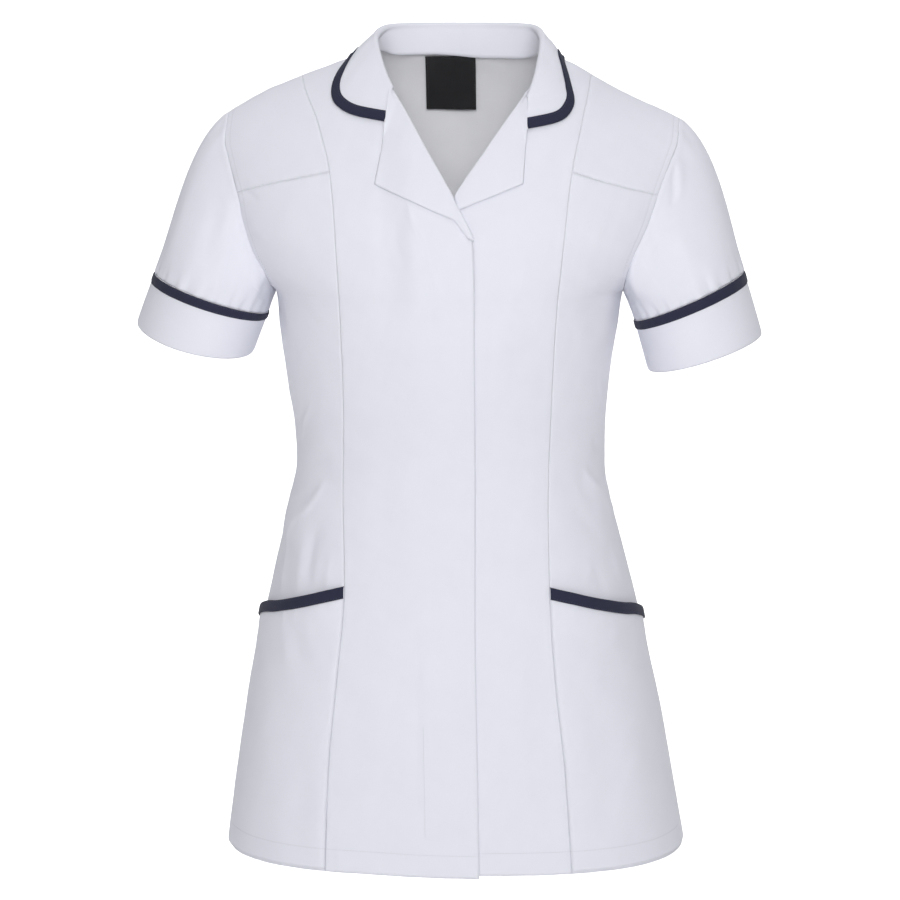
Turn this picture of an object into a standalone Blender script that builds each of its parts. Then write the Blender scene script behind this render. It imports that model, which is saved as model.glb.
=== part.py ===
"""Medical tunic, worn and hollow: every cut piece is its own thin closed wall.

Units are metres. +Z is up, the front faces -Y, and the wearer's right is on the -X side.
The origin is midway between the shoulders. The cloth is one surface, made of level rings below
the underarm and of arches above it that close on the shoulder line. Seams are drawn on that
surface, and each piece is the stretch between its seams, given its thickness inwards.
"""
import math
from collections import namedtuple

import bmesh
import bpy
import numpy as np

# Driving dimensions
CLOTH = 0.0012            # wall of the cloth
SEAM_GAP = 0.0003         # between pieces that are sewn together
LAY_GAP = 0.0008          # between a piece and the panel that it lies on
UNDERARM = -0.205         # height of the underarm, where the arches start
RISE = 0.200              # height coordinate covered by the arches
TOP = UNDERARM + RISE
HEM = -0.7065
HEM_DROP = 0.0025         # the overlapping front hangs this much lower at its edge
SIDE_Y = 0.006            # the side and shoulder seams lie this far behind the origin
OVERLAP_LIFT = 0.0018     # the overlapping front lies this far out over the other
LAPEL_LIFT = 0.0044       # and this far where the other front's lapel is under it
LAPEL_FOOT = -0.235       # level below the lapels where that lift starts
LAPEL_EASE = 0.050        # and the height over which it grows
OVERLAP_IN = -0.028       # where the lift starts and
OVERLAP_OUT = -0.060      # where it has run out, towards the front seam
UNDERLAP_X = -0.018       # edge of the front that lies under
BINDING = 0.0085          # width of the dark strips
BINDING_WALL = 0.0010
BINDING_OVER = 0.0010     # the strip stands this far above the pocket's mouth
POCKET_GAPE = 0.0034      # how far the pocket's mouth stands off
POCKET_EASE = 0.045       # over this depth below the mouth
POCKET_END = 0.15         # its ends, as shares of its width, are sewn down flat
MOUTH_TURN = 1.15         # from this angle on, the mouth falls further round the side
MOUTH_FALL = 0.004
NECK_CENTRE = 0.005
COLLAR_LIFT = 0.0022      # of the middle of the collar's fall, off the cloth
LABEL_GAP = 0.0012        # the label hangs this far off the back
LABEL_HEIGHT = 0.048
LABEL_TOP = 0.0035
LABEL_X = (-0.0273, 0.0191)
LABEL_WALL = 0.0010
POCKET_UP = 0.0020        # the pocket ends this far above the hem

# Grid of the panels
LOWER_ROWS = 13
YOKE_LEVEL = -0.122       # the front yoke seam follows this level
ROWS_UNDER_YOKE = 7
ROWS_OF_YOKE = 7
FRONT_COLUMNS = 9
YOKE_COLUMNS = 7
SLEEVE_RINGS = 8

# Ring or arch of the body: distances from the side seam plane and from the centre
Ring = namedtuple("Ring", "height half_width front back centre squareness")
RINGS = [
    Ring(-0.7065, 0.2085, 0.152, 0.134, 0.0028, 2.70),
    Ring(-0.640, 0.1980, 0.148, 0.130, 0.0013, 2.65),
    Ring(-0.583, 0.1885, 0.144, 0.125, 0.0004, 2.60),
    Ring(-0.530, 0.1780, 0.138, 0.119, -0.0010, 2.55),
    Ring(-0.490, 0.1690, 0.131, 0.112, -0.0008, 2.50),
    Ring(-0.455, 0.1608, 0.123, 0.104, -0.0016, 2.45),
    Ring(-0.420, 0.1520, 0.114, 0.094, -0.0021, 2.40),
    Ring(-0.390, 0.1447, 0.109, 0.086, -0.0030, 2.35),
    Ring(-0.360, 0.1400, 0.107, 0.082, -0.0022, 2.32),
    Ring(-0.330, 0.1408, 0.111, 0.085, -0.0030, 2.30),
    Ring(-0.300, 0.1437, 0.117, 0.090, -0.0040, 2.30),
    Ring(-0.265, 0.1480, 0.124, 0.095, -0.0045, 2.30),
    Ring(-0.235, 0.1525, 0.127, 0.098, -0.0040, 2.30),
    Ring(-0.205, 0.1565, 0.126, 0.099, -0.0035, 2.30),
    Ring(-0.195, 0.1630, 0.126, 0.100, -0.0033, 2.30),
    Ring(-0.185, 0.1730, 0.126, 0.100, -0.0030, 2.30),
    Ring(-0.163, 0.1910, 0.126, 0.101, -0.0020, 2.30),
    Ring(-0.140, 0.2030, 0.125, 0.101, -0.0010, 2.30),
    Ring(-0.119, 0.2120, 0.123, 0.101, 0.0000, 2.30),
    Ring(-0.080, 0.2220, 0.121, 0.101, 0.0020, 2.30),
    Ring(-0.040, 0.2300, 0.118, 0.101, 0.0040, 2.30),
    Ring(-0.005, 0.2350, 0.116, 0.100, 0.0050, 2.30),
]
# How an arch curves from the underarm level to the shoulder: rise and reach exponents
ARCH = {"front": (1.6, 1.4), "back": (2.0, 2.0)}

# Height of the shoulder line, by distance from the centre
Shoulder = namedtuple("Shoulder", "across right left")
SHOULDERS = [
    Shoulder(0.000, 0.0340, 0.0340),
    Shoulder(0.070, 0.0105, 0.0105),
    Shoulder(0.105, -0.0017, -0.0017),
    Shoulder(0.133, -0.0122, -0.0176),
    Shoulder(0.160, -0.0229, -0.0315),
    Shoulder(0.182, -0.0336, -0.0413),
    Shoulder(0.210, -0.0510, -0.0550),
]

# Seams of the front, as heights and distances from the middle, for the wearer's right and left
SeamRow = namedtuple("SeamRow", "height right left")
FRONT_SEAM = [
    SeamRow(0.0200, 0.1370, 0.1240),
    SeamRow(-0.0250, 0.1310, 0.1210),
    SeamRow(-0.0600, 0.1155, 0.1135),
    SeamRow(-0.0980, 0.1050, 0.1060),
    SeamRow(-0.1520, 0.0990, 0.1000),
    SeamRow(-0.2050, 0.0955, 0.0944),
    SeamRow(-0.2900, 0.0930, 0.0898),
    SeamRow(-0.3800, 0.0945, 0.0870),
    SeamRow(-0.4610, 0.0920, 0.0885),
    SeamRow(-0.5400, 0.0980, 0.0940),
    SeamRow(-0.6150, 0.1050, 0.1025),
    SeamRow(-0.7065, 0.1080, 0.1090),
]
FRONT_ARMHOLE = [
    SeamRow(0.0200, 0.2025, 0.2030),
    SeamRow(-0.0500, 0.2025, 0.2030),
    SeamRow(-0.0700, 0.2035, 0.2005),
    SeamRow(-0.0900, 0.1985, 0.1930),
    SeamRow(-0.1190, 0.1890, 0.1815),
    SeamRow(-0.1420, 0.1840, 0.1735),
    SeamRow(-0.1670, 0.1755, 0.1620),
    SeamRow(-0.1900, 0.1640, 0.1545),
    SeamRow(-0.2050, 0.1600, 0.1530),
]
BACK_ARMHOLE = [
    SeamRow(0.0200, 0.2025, 0.2030),
    SeamRow(-0.0500, 0.2025, 0.2030),
    SeamRow(-0.0800, 0.2020, 0.2000),
    SeamRow(-0.1200, 0.1960, 0.1900),
    SeamRow(-0.1500, 0.1870, 0.1790),
    SeamRow(-0.1750, 0.1750, 0.1670),
    SeamRow(-0.1930, 0.1650, 0.1570),
    SeamRow(-0.2050, 0.1600, 0.1530),
]
# Inner edge of each front, top to bottom: neck seam, roll line of the lapel, front edge.
# Here the distance is the place across, since the right front crosses the middle.
RIGHT_INNER = [
    (0.0200, -0.0670), (-0.0020, -0.0655), (-0.0140, -0.0600), (-0.0250, -0.0530),
    (-0.0730, -0.0245), (-0.1210, 0.0030), (-0.1600, 0.0210), (-0.2060, 0.0225),
    (-0.3330, 0.0230), (-0.4570, 0.0235), (-0.6280, 0.0268), (-0.7065, 0.0282),
]
LEFT_INNER = [
    (0.0200, 0.0770), (-0.0030, 0.0765), (-0.0170, 0.0720), (-0.0300, 0.0650),
    (-0.0755, 0.0340), (-0.1210, 0.0030), (-0.1550, -0.0150), (-0.2060, UNDERLAP_X),
    (-0.4570, UNDERLAP_X), (-0.7065, UNDERLAP_X),
]
# Back neck seam: how far it lies behind the shoulder seam, by distance from the neck's middle
NeckRow = namedtuple("NeckRow", "across behind")
BACK_NECK = [
    NeckRow(0.0000, 0.0460),
    NeckRow(0.0185, 0.0425),
    NeckRow(0.0370, 0.0365),
    NeckRow(0.0530, 0.0303),
    NeckRow(0.0620, 0.0240),
    NeckRow(0.0680, 0.0140),
    NeckRow(0.0720, 0.0000),
]

# Pocket mouth: height at each distance from the centre, the last at the side seam
MOUTH = [(0.085, -0.4575), (0.120, -0.4695), (0.150, -0.4800), (0.167, -0.4875), (0.172, -0.4950)]

# Large soft folds: from one place to another on a side, half width across and height
Fold = namedtuple("Fold", "side x1 z1 x2 z2 reach height")
FOLDS = [
    Fold("front", -0.038, -0.118, -0.016, -0.225, 0.013, 0.0032),
    Fold("front", -0.052, -0.125, -0.042, -0.215, 0.012, -0.0018),
    Fold("front", -0.134, -0.300, -0.146, -0.360, 0.014, -0.0022),
    Fold("front", -0.112, -0.372, -0.152, -0.425, 0.016, 0.0026),
    Fold("front", -0.150, -0.425, -0.158, -0.480, 0.014, -0.0024),
    Fold("front", 0.118, -0.368, 0.150, -0.410, 0.014, 0.0024),
    Fold("front", 0.140, -0.335, 0.136, -0.375, 0.014, -0.0022),
    Fold("back", -0.060, -0.330, -0.020, -0.385, 0.018, 0.0026),
    Fold("back", 0.055, -0.345, 0.015, -0.400, 0.016, 0.0022),
    Fold("back", -0.120, -0.350, -0.145, -0.400, 0.016, -0.0022),
    Fold("back", 0.118, -0.340, 0.146, -0.395, 0.016, -0.0024),
]

# Level of a sleeve: middle, half width, half depth, slope of its width and drop of its front
SleeveRing = namedtuple("SleeveRing", "x z half_width half_depth slope drop")
SLEEVES = {
    "right": [
        SleeveRing(-0.2175, -0.2067, 0.0541, 0.0610, 19.4, 0.0025),
        SleeveRing(-0.2318, -0.2458, 0.0545, 0.0625, 14.3, 0.0110),
    ],
    "left": [
        SleeveRing(0.2119, -0.2087, 0.0537, 0.0610, 24.4, 0.0015),
        SleeveRing(0.2262, -0.2587, 0.0537, 0.0625, 17.9, 0.0045),
    ],
}
SLEEVE_Y = -0.004
STRIP_TO_HEM = 0.045      # from the top of the dark strip to the sleeve's hem
CAP_TOP = (-0.85, 0.0, -0.53)        # directions in which the right sleeve leaves the armhole
CAP_SIDE = (-0.35, 0.26, -0.90)
CAP_UNDER = (-0.36, 0.0, -0.93)
SLEEVE_END = {"right": (-0.34, 0.0, -0.94), "left": (0.28, 0.0, -0.96)}

# Collar, from the middle of the back to the lapel: the top of its roll, the edge of its fall
# and the radius of the roll. Distances across are from the neck's middle.
CollarRow = namedtuple("CollarRow", "roll_x roll_y roll_z edge_x edge_y edge_z radius")
COLLAR_BACK = [
    CollarRow(0.0000, 0.0600, 0.0335, 0.0000, 0.0660, -0.0120, 0.0028),
    CollarRow(0.0200, 0.0585, 0.0335, 0.0240, 0.0655, -0.0120, 0.0028),
    CollarRow(0.0390, 0.0530, 0.0333, 0.0470, 0.0610, -0.0120, 0.0028),
    CollarRow(0.0555, 0.0440, 0.0325, 0.0680, 0.0530, -0.0100, 0.0028),
    CollarRow(0.0655, 0.0345, 0.0310, 0.0810, 0.0400, -0.0060, 0.0028),
    CollarRow(0.0705, 0.0215, 0.0270, 0.0885, 0.0240, -0.0010, 0.0028),
    CollarRow(0.0722, 0.0060, 0.0220, 0.0935, 0.0080, 0.0020, 0.0028),
]
COLLAR_FRONT = {
    "right": [
        CollarRow(0.0722, 0.0015, 0.0200, 0.0985, -0.0040, -0.0010, 0.0027),
        CollarRow(0.0718, -0.0035, 0.0165, 0.1047, -0.0120, -0.0051, 0.0026),
        CollarRow(0.0708, -0.0095, 0.0120, 0.1090, -0.0200, -0.0165, 0.0024),
        CollarRow(0.0690, -0.0165, 0.0060, 0.1104, -0.0260, -0.0261, 0.0022),
        CollarRow(0.0665, -0.0240, -0.0010, 0.1088, -0.0320, -0.0347, 0.0020),
        CollarRow(0.0635, -0.0315, -0.0090, 0.1040, -0.0370, -0.0420, 0.0018),
        CollarRow(0.0600, -0.0385, -0.0162, 0.0900, -0.0460, -0.0505, 0.0017),
        CollarRow(0.0565, -0.0440, -0.0232, 0.0595, -0.0550, -0.0568, 0.0016),
    ],
    "left": [
        CollarRow(0.0728, 0.0015, 0.0200, 0.0925, -0.0040, -0.0010, 0.0027),
        CollarRow(0.0728, -0.0035, 0.0160, 0.0950, -0.0120, -0.0105, 0.0026),
        CollarRow(0.0724, -0.0100, 0.0110, 0.0975, -0.0210, -0.0200, 0.0024),
        CollarRow(0.0716, -0.0175, 0.0045, 0.0997, -0.0280, -0.0295, 0.0022),
        CollarRow(0.0702, -0.0270, -0.0025, 0.1014, -0.0340, -0.0370, 0.0020),
        CollarRow(0.0685, -0.0358, -0.0112, 0.0990, -0.0400, -0.0450, 0.0018),
        CollarRow(0.0660, -0.0430, -0.0196, 0.0890, -0.0480, -0.0560, 0.0017),
        CollarRow(0.0630, -0.0495, -0.0286, 0.0606, -0.0580, -0.0619, 0.0016),
    ],
}

# Lapel: places along the roll line, 0 at the collar and 1 at its foot, and the outer edge there
LapelRow = namedtuple("LapelRow", "along outer_x outer_z")
LAPELS = {
    "right": [
        LapelRow(0.00, -0.0560, -0.0560),
        LapelRow(0.15, -0.0590, -0.0730),
        LapelRow(0.31, -0.0620, -0.0900),
        LapelRow(0.47, -0.0650, -0.1070),
        LapelRow(0.60, -0.0410, -0.1185),
        LapelRow(0.73, -0.0175, -0.1290),
        LapelRow(0.86, 0.0055, -0.1380),
        LapelRow(0.97, 0.0170, -0.1540),
    ],
    "left": [
        LapelRow(0.00, 0.0660, -0.0617),
        LapelRow(0.15, 0.0655, -0.0765),
        LapelRow(0.31, 0.0648, -0.0915),
        LapelRow(0.46, 0.0640, -0.1065),
        LapelRow(0.56, 0.0450, -0.1140),
        LapelRow(0.66, 0.0260, -0.1215),
        LapelRow(0.76, 0.0070, -0.1290),
    ],
}
ROLL_FOOT = {"right": (0.0205, -0.1590), "left": (-0.0150, -0.1550)}
ROLL_HEAD = {"right": (-0.0530, -0.0250), "left": (0.0650, -0.0300)}
LAPEL_START = 0.035       # the lapel starts this share of the roll line below the collar
LAPEL_ROWS = 13
LAPEL_COLUMNS = 6

WHITE_CLOTH = (0.80, 0.81, 0.86, 1.0)
DARK_CLOTH = (0.030, 0.033, 0.062, 1.0)
LABEL_CLOTH = (0.012, 0.012, 0.014, 1.0)


def smooth(positions, values, at):
    """Smooth curve through the values that never overshoots them."""
    x = np.asarray(positions, float)
    y = np.asarray(values, float)
    if x[0] > x[-1]:
        x, y = x[::-1], y[::-1]
    step = np.diff(x)
    slope = np.diff(y) / step
    left, right = slope[:-1], slope[1:]
    same_way = left * right > 0
    w1 = 2 * step[1:] + step[:-1]
    w2 = step[1:] + 2 * step[:-1]
    safe_left = np.where(same_way, left, 1.0)
    safe_right = np.where(same_way, right, 1.0)
    inner = np.where(same_way, (w1 + w2) / (w1 / safe_left + w2 / safe_right), 0.0)
    tangent = np.concatenate([[slope[0]], inner, [slope[-1]]])
    at = np.clip(np.asarray(at, float), x[0], x[-1])
    i = np.clip(np.searchsorted(x, at) - 1, 0, len(x) - 2)
    t = (at - x[i]) / step[i]
    return (y[i] * (1 + 2 * t) * (1 - t) ** 2 + tangent[i] * step[i] * t * (1 - t) ** 2
            + y[i + 1] * t * t * (3 - 2 * t) + tangent[i + 1] * step[i] * t * t * (t - 1))


def column(rows, name):
    return [getattr(row, name) for row in rows]


def ring_value(name, level):
    return smooth(column(RINGS, "height"), column(RINGS, name), level)


def shoulder_height(x):
    across = column(SHOULDERS, "across")
    right = smooth(across, column(SHOULDERS, "right"), np.abs(x))
    left = smooth(across, column(SHOULDERS, "left"), np.abs(x))
    return np.where(np.asarray(x) < 0, right, left)


def ease(t):
    t = np.clip(t, 0.0, 1.0)
    return t * t * (3 - 2 * t)


def cloth_point(theta, level, side):
    """Point of the cloth's outer face. theta is 0 at the middle and +-90 degrees at the side
    seams; level is the height below the underarm, and runs up the arch to TOP above it."""
    theta, level = np.broadcast_arrays(np.asarray(theta, float), np.asarray(level, float))
    way = -1.0 if side == "front" else 1.0
    rise, reach = ARCH[side]
    power = 2.0 / ring_value("squareness", level)
    sine = np.sin(theta)
    across = np.sign(sine) * np.abs(sine) ** power
    x = ring_value("centre", level) + ring_value("half_width", level) * across
    depth = ring_value(side, level) * np.clip(np.cos(theta), 0.0, 1.0) ** power
    turn = np.clip((level - UNDERARM) / RISE, 0.0, 1.0) * math.pi / 2
    lift = (shoulder_height(x) - UNDERARM) * np.sin(turn) ** (2.0 / rise)
    z = np.where(level < UNDERARM, level, UNDERARM + lift)
    y = SIDE_Y + way * depth * np.clip(np.cos(turn), 0.0, 1.0) ** (2.0 / reach)
    return np.stack([x, y, z], axis=-1)


def unit(vectors):
    return vectors / np.linalg.norm(vectors, axis=-1, keepdims=True)


def cloth_normal(theta, level, side):
    """Direction out of the cloth. On the shoulder line it is square to that line."""
    theta, level = np.broadcast_arrays(np.asarray(theta, float), np.asarray(level, float))
    turn, step = 0.004, 0.0008
    quarter = math.pi / 2
    below = np.minimum(level, TOP - 0.004)
    across = (cloth_point(np.minimum(theta + turn, quarter), below, side)
              - cloth_point(np.maximum(theta - turn, -quarter), below, side))
    upward = cloth_point(theta, below + step, side) - cloth_point(theta, below - step, side)
    normal = unit(np.cross(across, upward) * (1.0 if side == "front" else -1.0))
    x = cloth_point(theta, level, side)[..., 0]
    slope = (shoulder_height(x + 0.002) - shoulder_height(x - 0.002)) / 0.004
    ridge = unit(np.stack([-slope, np.zeros_like(slope), np.ones_like(slope)], axis=-1))
    share = ease((level - (TOP - 0.012)) / 0.011)[..., None]
    return unit(normal * (1 - share) + ridge * share)


def level_at(x, z, side):
    """Level of the point of the cloth that lies at x, z."""
    rise = ARCH[side][0]
    part = (np.asarray(z, float) - UNDERARM) / (shoulder_height(x) - UNDERARM)
    turn = np.arcsin(np.clip(part, 0.0, 1.0) ** (rise / 2.0))
    return np.where(np.asarray(z) < UNDERARM, z, UNDERARM + RISE * turn / (math.pi / 2))


def theta_at(x, level):
    part = (np.asarray(x, float) - ring_value("centre", level)) / ring_value("half_width", level)
    power = ring_value("squareness", level) / 2.0
    return np.sign(part) * np.arcsin(np.clip(np.abs(part), 0.0, 1.0) ** power)


class Seam:
    """A seam on one side of the cloth, given by heights and places across."""

    def __init__(self, rows, side):
        heights = np.array([row[0] for row in rows])
        places = np.array([row[1] for row in rows])
        self.levels, kept = np.unique(level_at(places, heights, side), return_index=True)
        self.places = places[kept]

    def theta(self, level):
        return theta_at(smooth(self.levels, self.places, level), level)


def seam_rows(table, who):
    way = -1.0 if who == "right" else 1.0
    return [(row.height, way * getattr(row, who)) for row in table]


def fold_lift(x, z, side):
    """How far the large folds raise or sink the cloth at x, z."""
    lift = np.zeros_like(x)
    for fold in FOLDS:
        if fold.side != side:
            continue
        run = np.array([fold.x2 - fold.x1, fold.z2 - fold.z1])
        length = np.linalg.norm(run)
        along = ((x - fold.x1) * run[0] + (z - fold.z1) * run[1]) / length ** 2
        across = ((x - fold.x1) * run[1] - (z - fold.z1) * run[0]) / length
        ends = np.sin(np.clip(along, 0.0, 1.0) * math.pi) ** 0.8
        lift = lift + fold.height * ends * np.exp(-(across / fold.reach) ** 2)
    return lift


def laid_cloth(theta, level, side, out):
    """Points and normals of a layer that lies out from the cloth's face, with its folds."""
    points = cloth_point(theta, level, side)
    normals = cloth_normal(theta, level, side)
    lift = fold_lift(points[..., 0], points[..., 2], side) + out
    return points + normals * lift[..., None], normals


def material(name, colour, roughness):
    made = bpy.data.materials.new(name)
    made.use_nodes = True
    shader = made.node_tree.nodes["Principled BSDF"]
    shader.inputs["Base Color"].default_value = colour
    shader.inputs["Roughness"].default_value = roughness
    made.diffuse_color = colour
    return made


def wall_faces(rows, columns, closed):
    """Faces of a wall made from an outer grid, then an inner grid of the same size."""
    count = rows * columns
    spans = columns if closed else columns - 1

    def spot(r, c):
        return r * columns + c % columns

    faces = []
    for r in range(rows - 1):
        for c in range(spans):
            cell = [spot(r, c), spot(r, c + 1), spot(r + 1, c + 1), spot(r + 1, c)]
            faces.append(cell)
            faces.append([count + v for v in reversed(cell)])
    rim = [(spot(0, c + 1), spot(0, c)) for c in range(spans)]
    rim += [(spot(rows - 1, c), spot(rows - 1, c + 1)) for c in range(spans)]
    if not closed:
        rim += [(spot(r, 0), spot(r + 1, 0)) for r in range(rows - 1)]
        rim += [(spot(r + 1, columns - 1), spot(r, columns - 1)) for r in range(rows - 1)]
    for a, b in rim:
        faces.append([a, b, count + b, count + a])
    return faces


def add_wall(name, outer, inwards, thickness, finish, closed=False):
    """One cloth piece: the outer grid, and an inner grid a wall's thickness further in."""
    rows, columns = outer.shape[:2]
    inner = outer + inwards * thickness
    corners = np.concatenate([outer.reshape(-1, 3), inner.reshape(-1, 3)])
    bm = bmesh.new()
    spots = [bm.verts.new(corner) for corner in corners]
    for face in wall_faces(rows, columns, closed):
        bm.faces.new([spots[v] for v in face])
    bmesh.ops.triangulate(bm, faces=bm.faces[:], quad_method="SHORT_EDGE")
    if bm.calc_volume(signed=True) < 0:
        bmesh.ops.reverse_faces(bm, faces=bm.faces[:])
    mesh = bpy.data.meshes.new(name)
    bm.to_mesh(mesh)
    bm.free()
    mesh.shade_smooth()
    mesh.set_sharp_from_angle(angle=math.radians(50))
    mesh.materials.append(finish)
    piece = bpy.data.objects.new(name, mesh)
    bpy.context.scene.collection.objects.link(piece)
    return piece


def pull_in(grid, left=True, right=True, bottom=True, top=True):
    """Draws the borders of a grid back by half a seam gap, so that sewn pieces stay apart."""
    half = SEAM_GAP / 2
    out = grid.copy()
    if left:
        out[:, 0] += unit(grid[:, 1] - grid[:, 0]) * half
    if right:
        out[:, -1] += unit(grid[:, -2] - grid[:, -1]) * half
    if bottom:
        out[0] += unit(grid[1] - grid[0]) * half
    if top:
        out[-1] += unit(grid[-2] - grid[-1]) * half
    return out


LOWER_LEVELS = np.linspace(HEM, UNDERARM, LOWER_ROWS + 1)
ARMPIT_STEPS = (np.arange(ROWS_UNDER_YOKE + 1) / ROWS_UNDER_YOKE) ** 1.4
ARMPIT_LEVELS = UNDERARM + (YOKE_LEVEL - UNDERARM) * ARMPIT_STEPS
YOKE_LEVELS = np.linspace(YOKE_LEVEL, TOP, ROWS_OF_YOKE + 1)
UPPER_LEVELS = np.concatenate([ARMPIT_LEVELS[:-1], YOKE_LEVELS])
ALL_LEVELS = np.concatenate([LOWER_LEVELS[:-1], UPPER_LEVELS])
SIDE_FRONT_LEVELS = np.concatenate([LOWER_LEVELS[:-1], ARMPIT_LEVELS])


def spread(start, end, count):
    """Angles between two seams at each level, as rows of a grid."""
    share = np.linspace(0.0, 1.0, count)[None, :]
    return start[:, None] * (1 - share) + end[:, None] * share


def front_centre(who, finish):
    way = -1.0 if who == "right" else 1.0
    outer_seam = Seam(seam_rows(FRONT_SEAM, who), "front")
    inner_edge = Seam(RIGHT_INNER if who == "right" else LEFT_INNER, "front")
    levels = ALL_LEVELS[:, None] * np.ones(FRONT_COLUMNS)
    theta = spread(outer_seam.theta(ALL_LEVELS), inner_edge.theta(ALL_LEVELS), FRONT_COLUMNS)
    out = np.zeros_like(theta)
    if who == "right":
        out = right_front_lift(theta, levels)
        share = np.linspace(0.0, 1.0, FRONT_COLUMNS)
        levels[0] -= HEM_DROP * share ** 2
    points, normals = laid_cloth(theta, levels, "front", out)
    points = pull_in(points, bottom=False)
    return add_wall("front_centre_" + who, points, -normals, CLOTH, finish)


def right_front_lift(theta, levels):
    """The overlapping front stands out over the other one, and over its lapel most."""
    x = cloth_point(theta, levels, "front")[..., 0]
    across = ease((x - OVERLAP_OUT) / (OVERLAP_IN - OVERLAP_OUT))
    at_lapel = ease((levels - LAPEL_FOOT) / LAPEL_EASE)
    return across * (OVERLAP_LIFT + (LAPEL_LIFT - OVERLAP_LIFT) * at_lapel)


def side_edge(levels, who, table, side):
    """Angle of the side seam, and above the underarm of the armhole."""
    way = -1.0 if who == "right" else 1.0
    armhole = Seam(seam_rows(table, who), side).theta(levels)
    return np.where(levels <= UNDERARM + 1e-9, way * math.pi / 2, armhole)


def side_front(who, finish):
    seam = Seam(seam_rows(FRONT_SEAM, who), "front").theta(SIDE_FRONT_LEVELS)
    edge = side_edge(SIDE_FRONT_LEVELS, who, FRONT_ARMHOLE, "front")
    theta = spread(seam, edge, FRONT_COLUMNS)
    levels = SIDE_FRONT_LEVELS[:, None] * np.ones(FRONT_COLUMNS)
    points, normals = laid_cloth(theta, levels, "front", 0.0)
    return add_wall("side_front_" + who, pull_in(points, bottom=False), -normals, CLOTH, finish)


def front_yoke(who, finish):
    seam = Seam(seam_rows(FRONT_SEAM, who), "front").theta(YOKE_LEVELS)
    edge = side_edge(YOKE_LEVELS, who, FRONT_ARMHOLE, "front")
    theta = spread(seam, edge, YOKE_COLUMNS)
    levels = YOKE_LEVELS[:, None] * np.ones(YOKE_COLUMNS)
    points, normals = laid_cloth(theta, levels, "front", 0.0)
    return add_wall("front_yoke_" + who, pull_in(points), -normals, CLOTH, finish)


NECK_PLACES = np.array([row.across for row in BACK_NECK])
SHOULDER_SHARES = np.array([0.12, 0.26, 0.40, 0.55, 0.70, 0.85, 1.0])


def level_behind(places):
    """Level of the back neck seam at places across."""
    across = np.abs(places - NECK_CENTRE)
    behind = smooth(column(BACK_NECK, "across"), column(BACK_NECK, "behind"), across)
    level = np.full(len(places), TOP)
    for _ in range(5):
        square = ring_value("squareness", level)
        part = np.abs(places - ring_value("centre", level)) / ring_value("half_width", level)
        depth = ring_value("back", level) * (1 - part ** square) ** (1 / square)
        turn = np.arccos((behind / depth) ** (ARCH["back"][1] / 2))
        level = UNDERARM + RISE * turn / (math.pi / 2)
    return level


def back_grid():
    """Angles and levels of the back: the neck scoop is cut into the top of its middle columns."""
    levels = ALL_LEVELS
    right = side_edge(levels, "right", BACK_ARMHOLE, "back")
    left = side_edge(levels, "left", BACK_ARMHOLE, "back")
    places = np.concatenate([-NECK_PLACES[:0:-1], NECK_PLACES]) + NECK_CENTRE
    seam_level = level_behind(places)
    neck = theta_at(places, seam_level)
    right_part = neck[0] + (right[-1] - neck[0]) * SHOULDER_SHARES[::-1]
    left_part = neck[-1] + (left[-1] - neck[-1]) * SHOULDER_SHARES
    top = np.concatenate([right_part, neck, left_part])
    theta = np.where(top < 0, top * (right / right[-1])[:, None], top * (left / left[-1])[:, None])
    grid = levels[:, None] * np.ones(len(top))
    ends = np.full(len(SHOULDER_SHARES), TOP)
    neck_level = np.concatenate([ends, seam_level, ends])
    arch = (grid - UNDERARM) / RISE
    grid = np.where(grid > UNDERARM, UNDERARM + arch * (neck_level[None, :] - UNDERARM), grid)
    return theta, grid


def back(finish):
    theta, levels = back_grid()
    points, normals = laid_cloth(theta, levels, "back", 0.0)
    return add_wall("back", pull_in(points, bottom=False), -normals, CLOTH, finish)


def mirrored(vector, who):
    x, y, z = vector
    return np.array([x if who == "right" else -x, y, z])


def armhole_loop(who):
    """The armhole from the shoulder down the front to the underarm and up the back."""
    levels = UPPER_LEVELS
    front = side_edge(levels, who, FRONT_ARMHOLE, "front")
    rear = side_edge(levels, who, BACK_ARMHOLE, "back")
    points = np.concatenate([cloth_point(front, levels, "front")[::-1],
                             cloth_point(rear, levels, "back")[1:-1]])
    normals = np.concatenate([cloth_normal(front, levels, "front")[::-1],
                              cloth_normal(rear, levels, "back")[1:-1]])
    half = len(levels) - 1
    steps = np.linalg.norm(np.diff(np.concatenate([points, points[:1]]), axis=0), axis=1)
    down = np.concatenate([[0.0], np.cumsum(steps[:half])])
    up = np.cumsum(steps[half:])
    turn = np.concatenate([down / down[-1] * math.pi, math.pi + up[:-1] / up[-1] * math.pi])
    return points, normals, turn


def sleeve_ring(who, share, turn):
    """Ring of the sleeve's lower end: share 0 at the strip's top, 1 at the hem."""
    upper, lower = SLEEVES[who]
    x, z, half_width, half_depth, slope, drop = (
        np.array(upper) * (1 - share) + np.array(lower) * share)
    way = -1.0 if who == "right" else 1.0
    outwards = np.array([way * math.cos(math.radians(slope)), 0.0, math.sin(math.radians(slope))])
    forwards = np.array([0.0, -half_depth, -drop])
    middle = np.array([x, SLEEVE_Y, z])
    return middle + half_width * np.cos(turn)[:, None] * outwards + np.sin(turn)[:, None] * forwards


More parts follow.
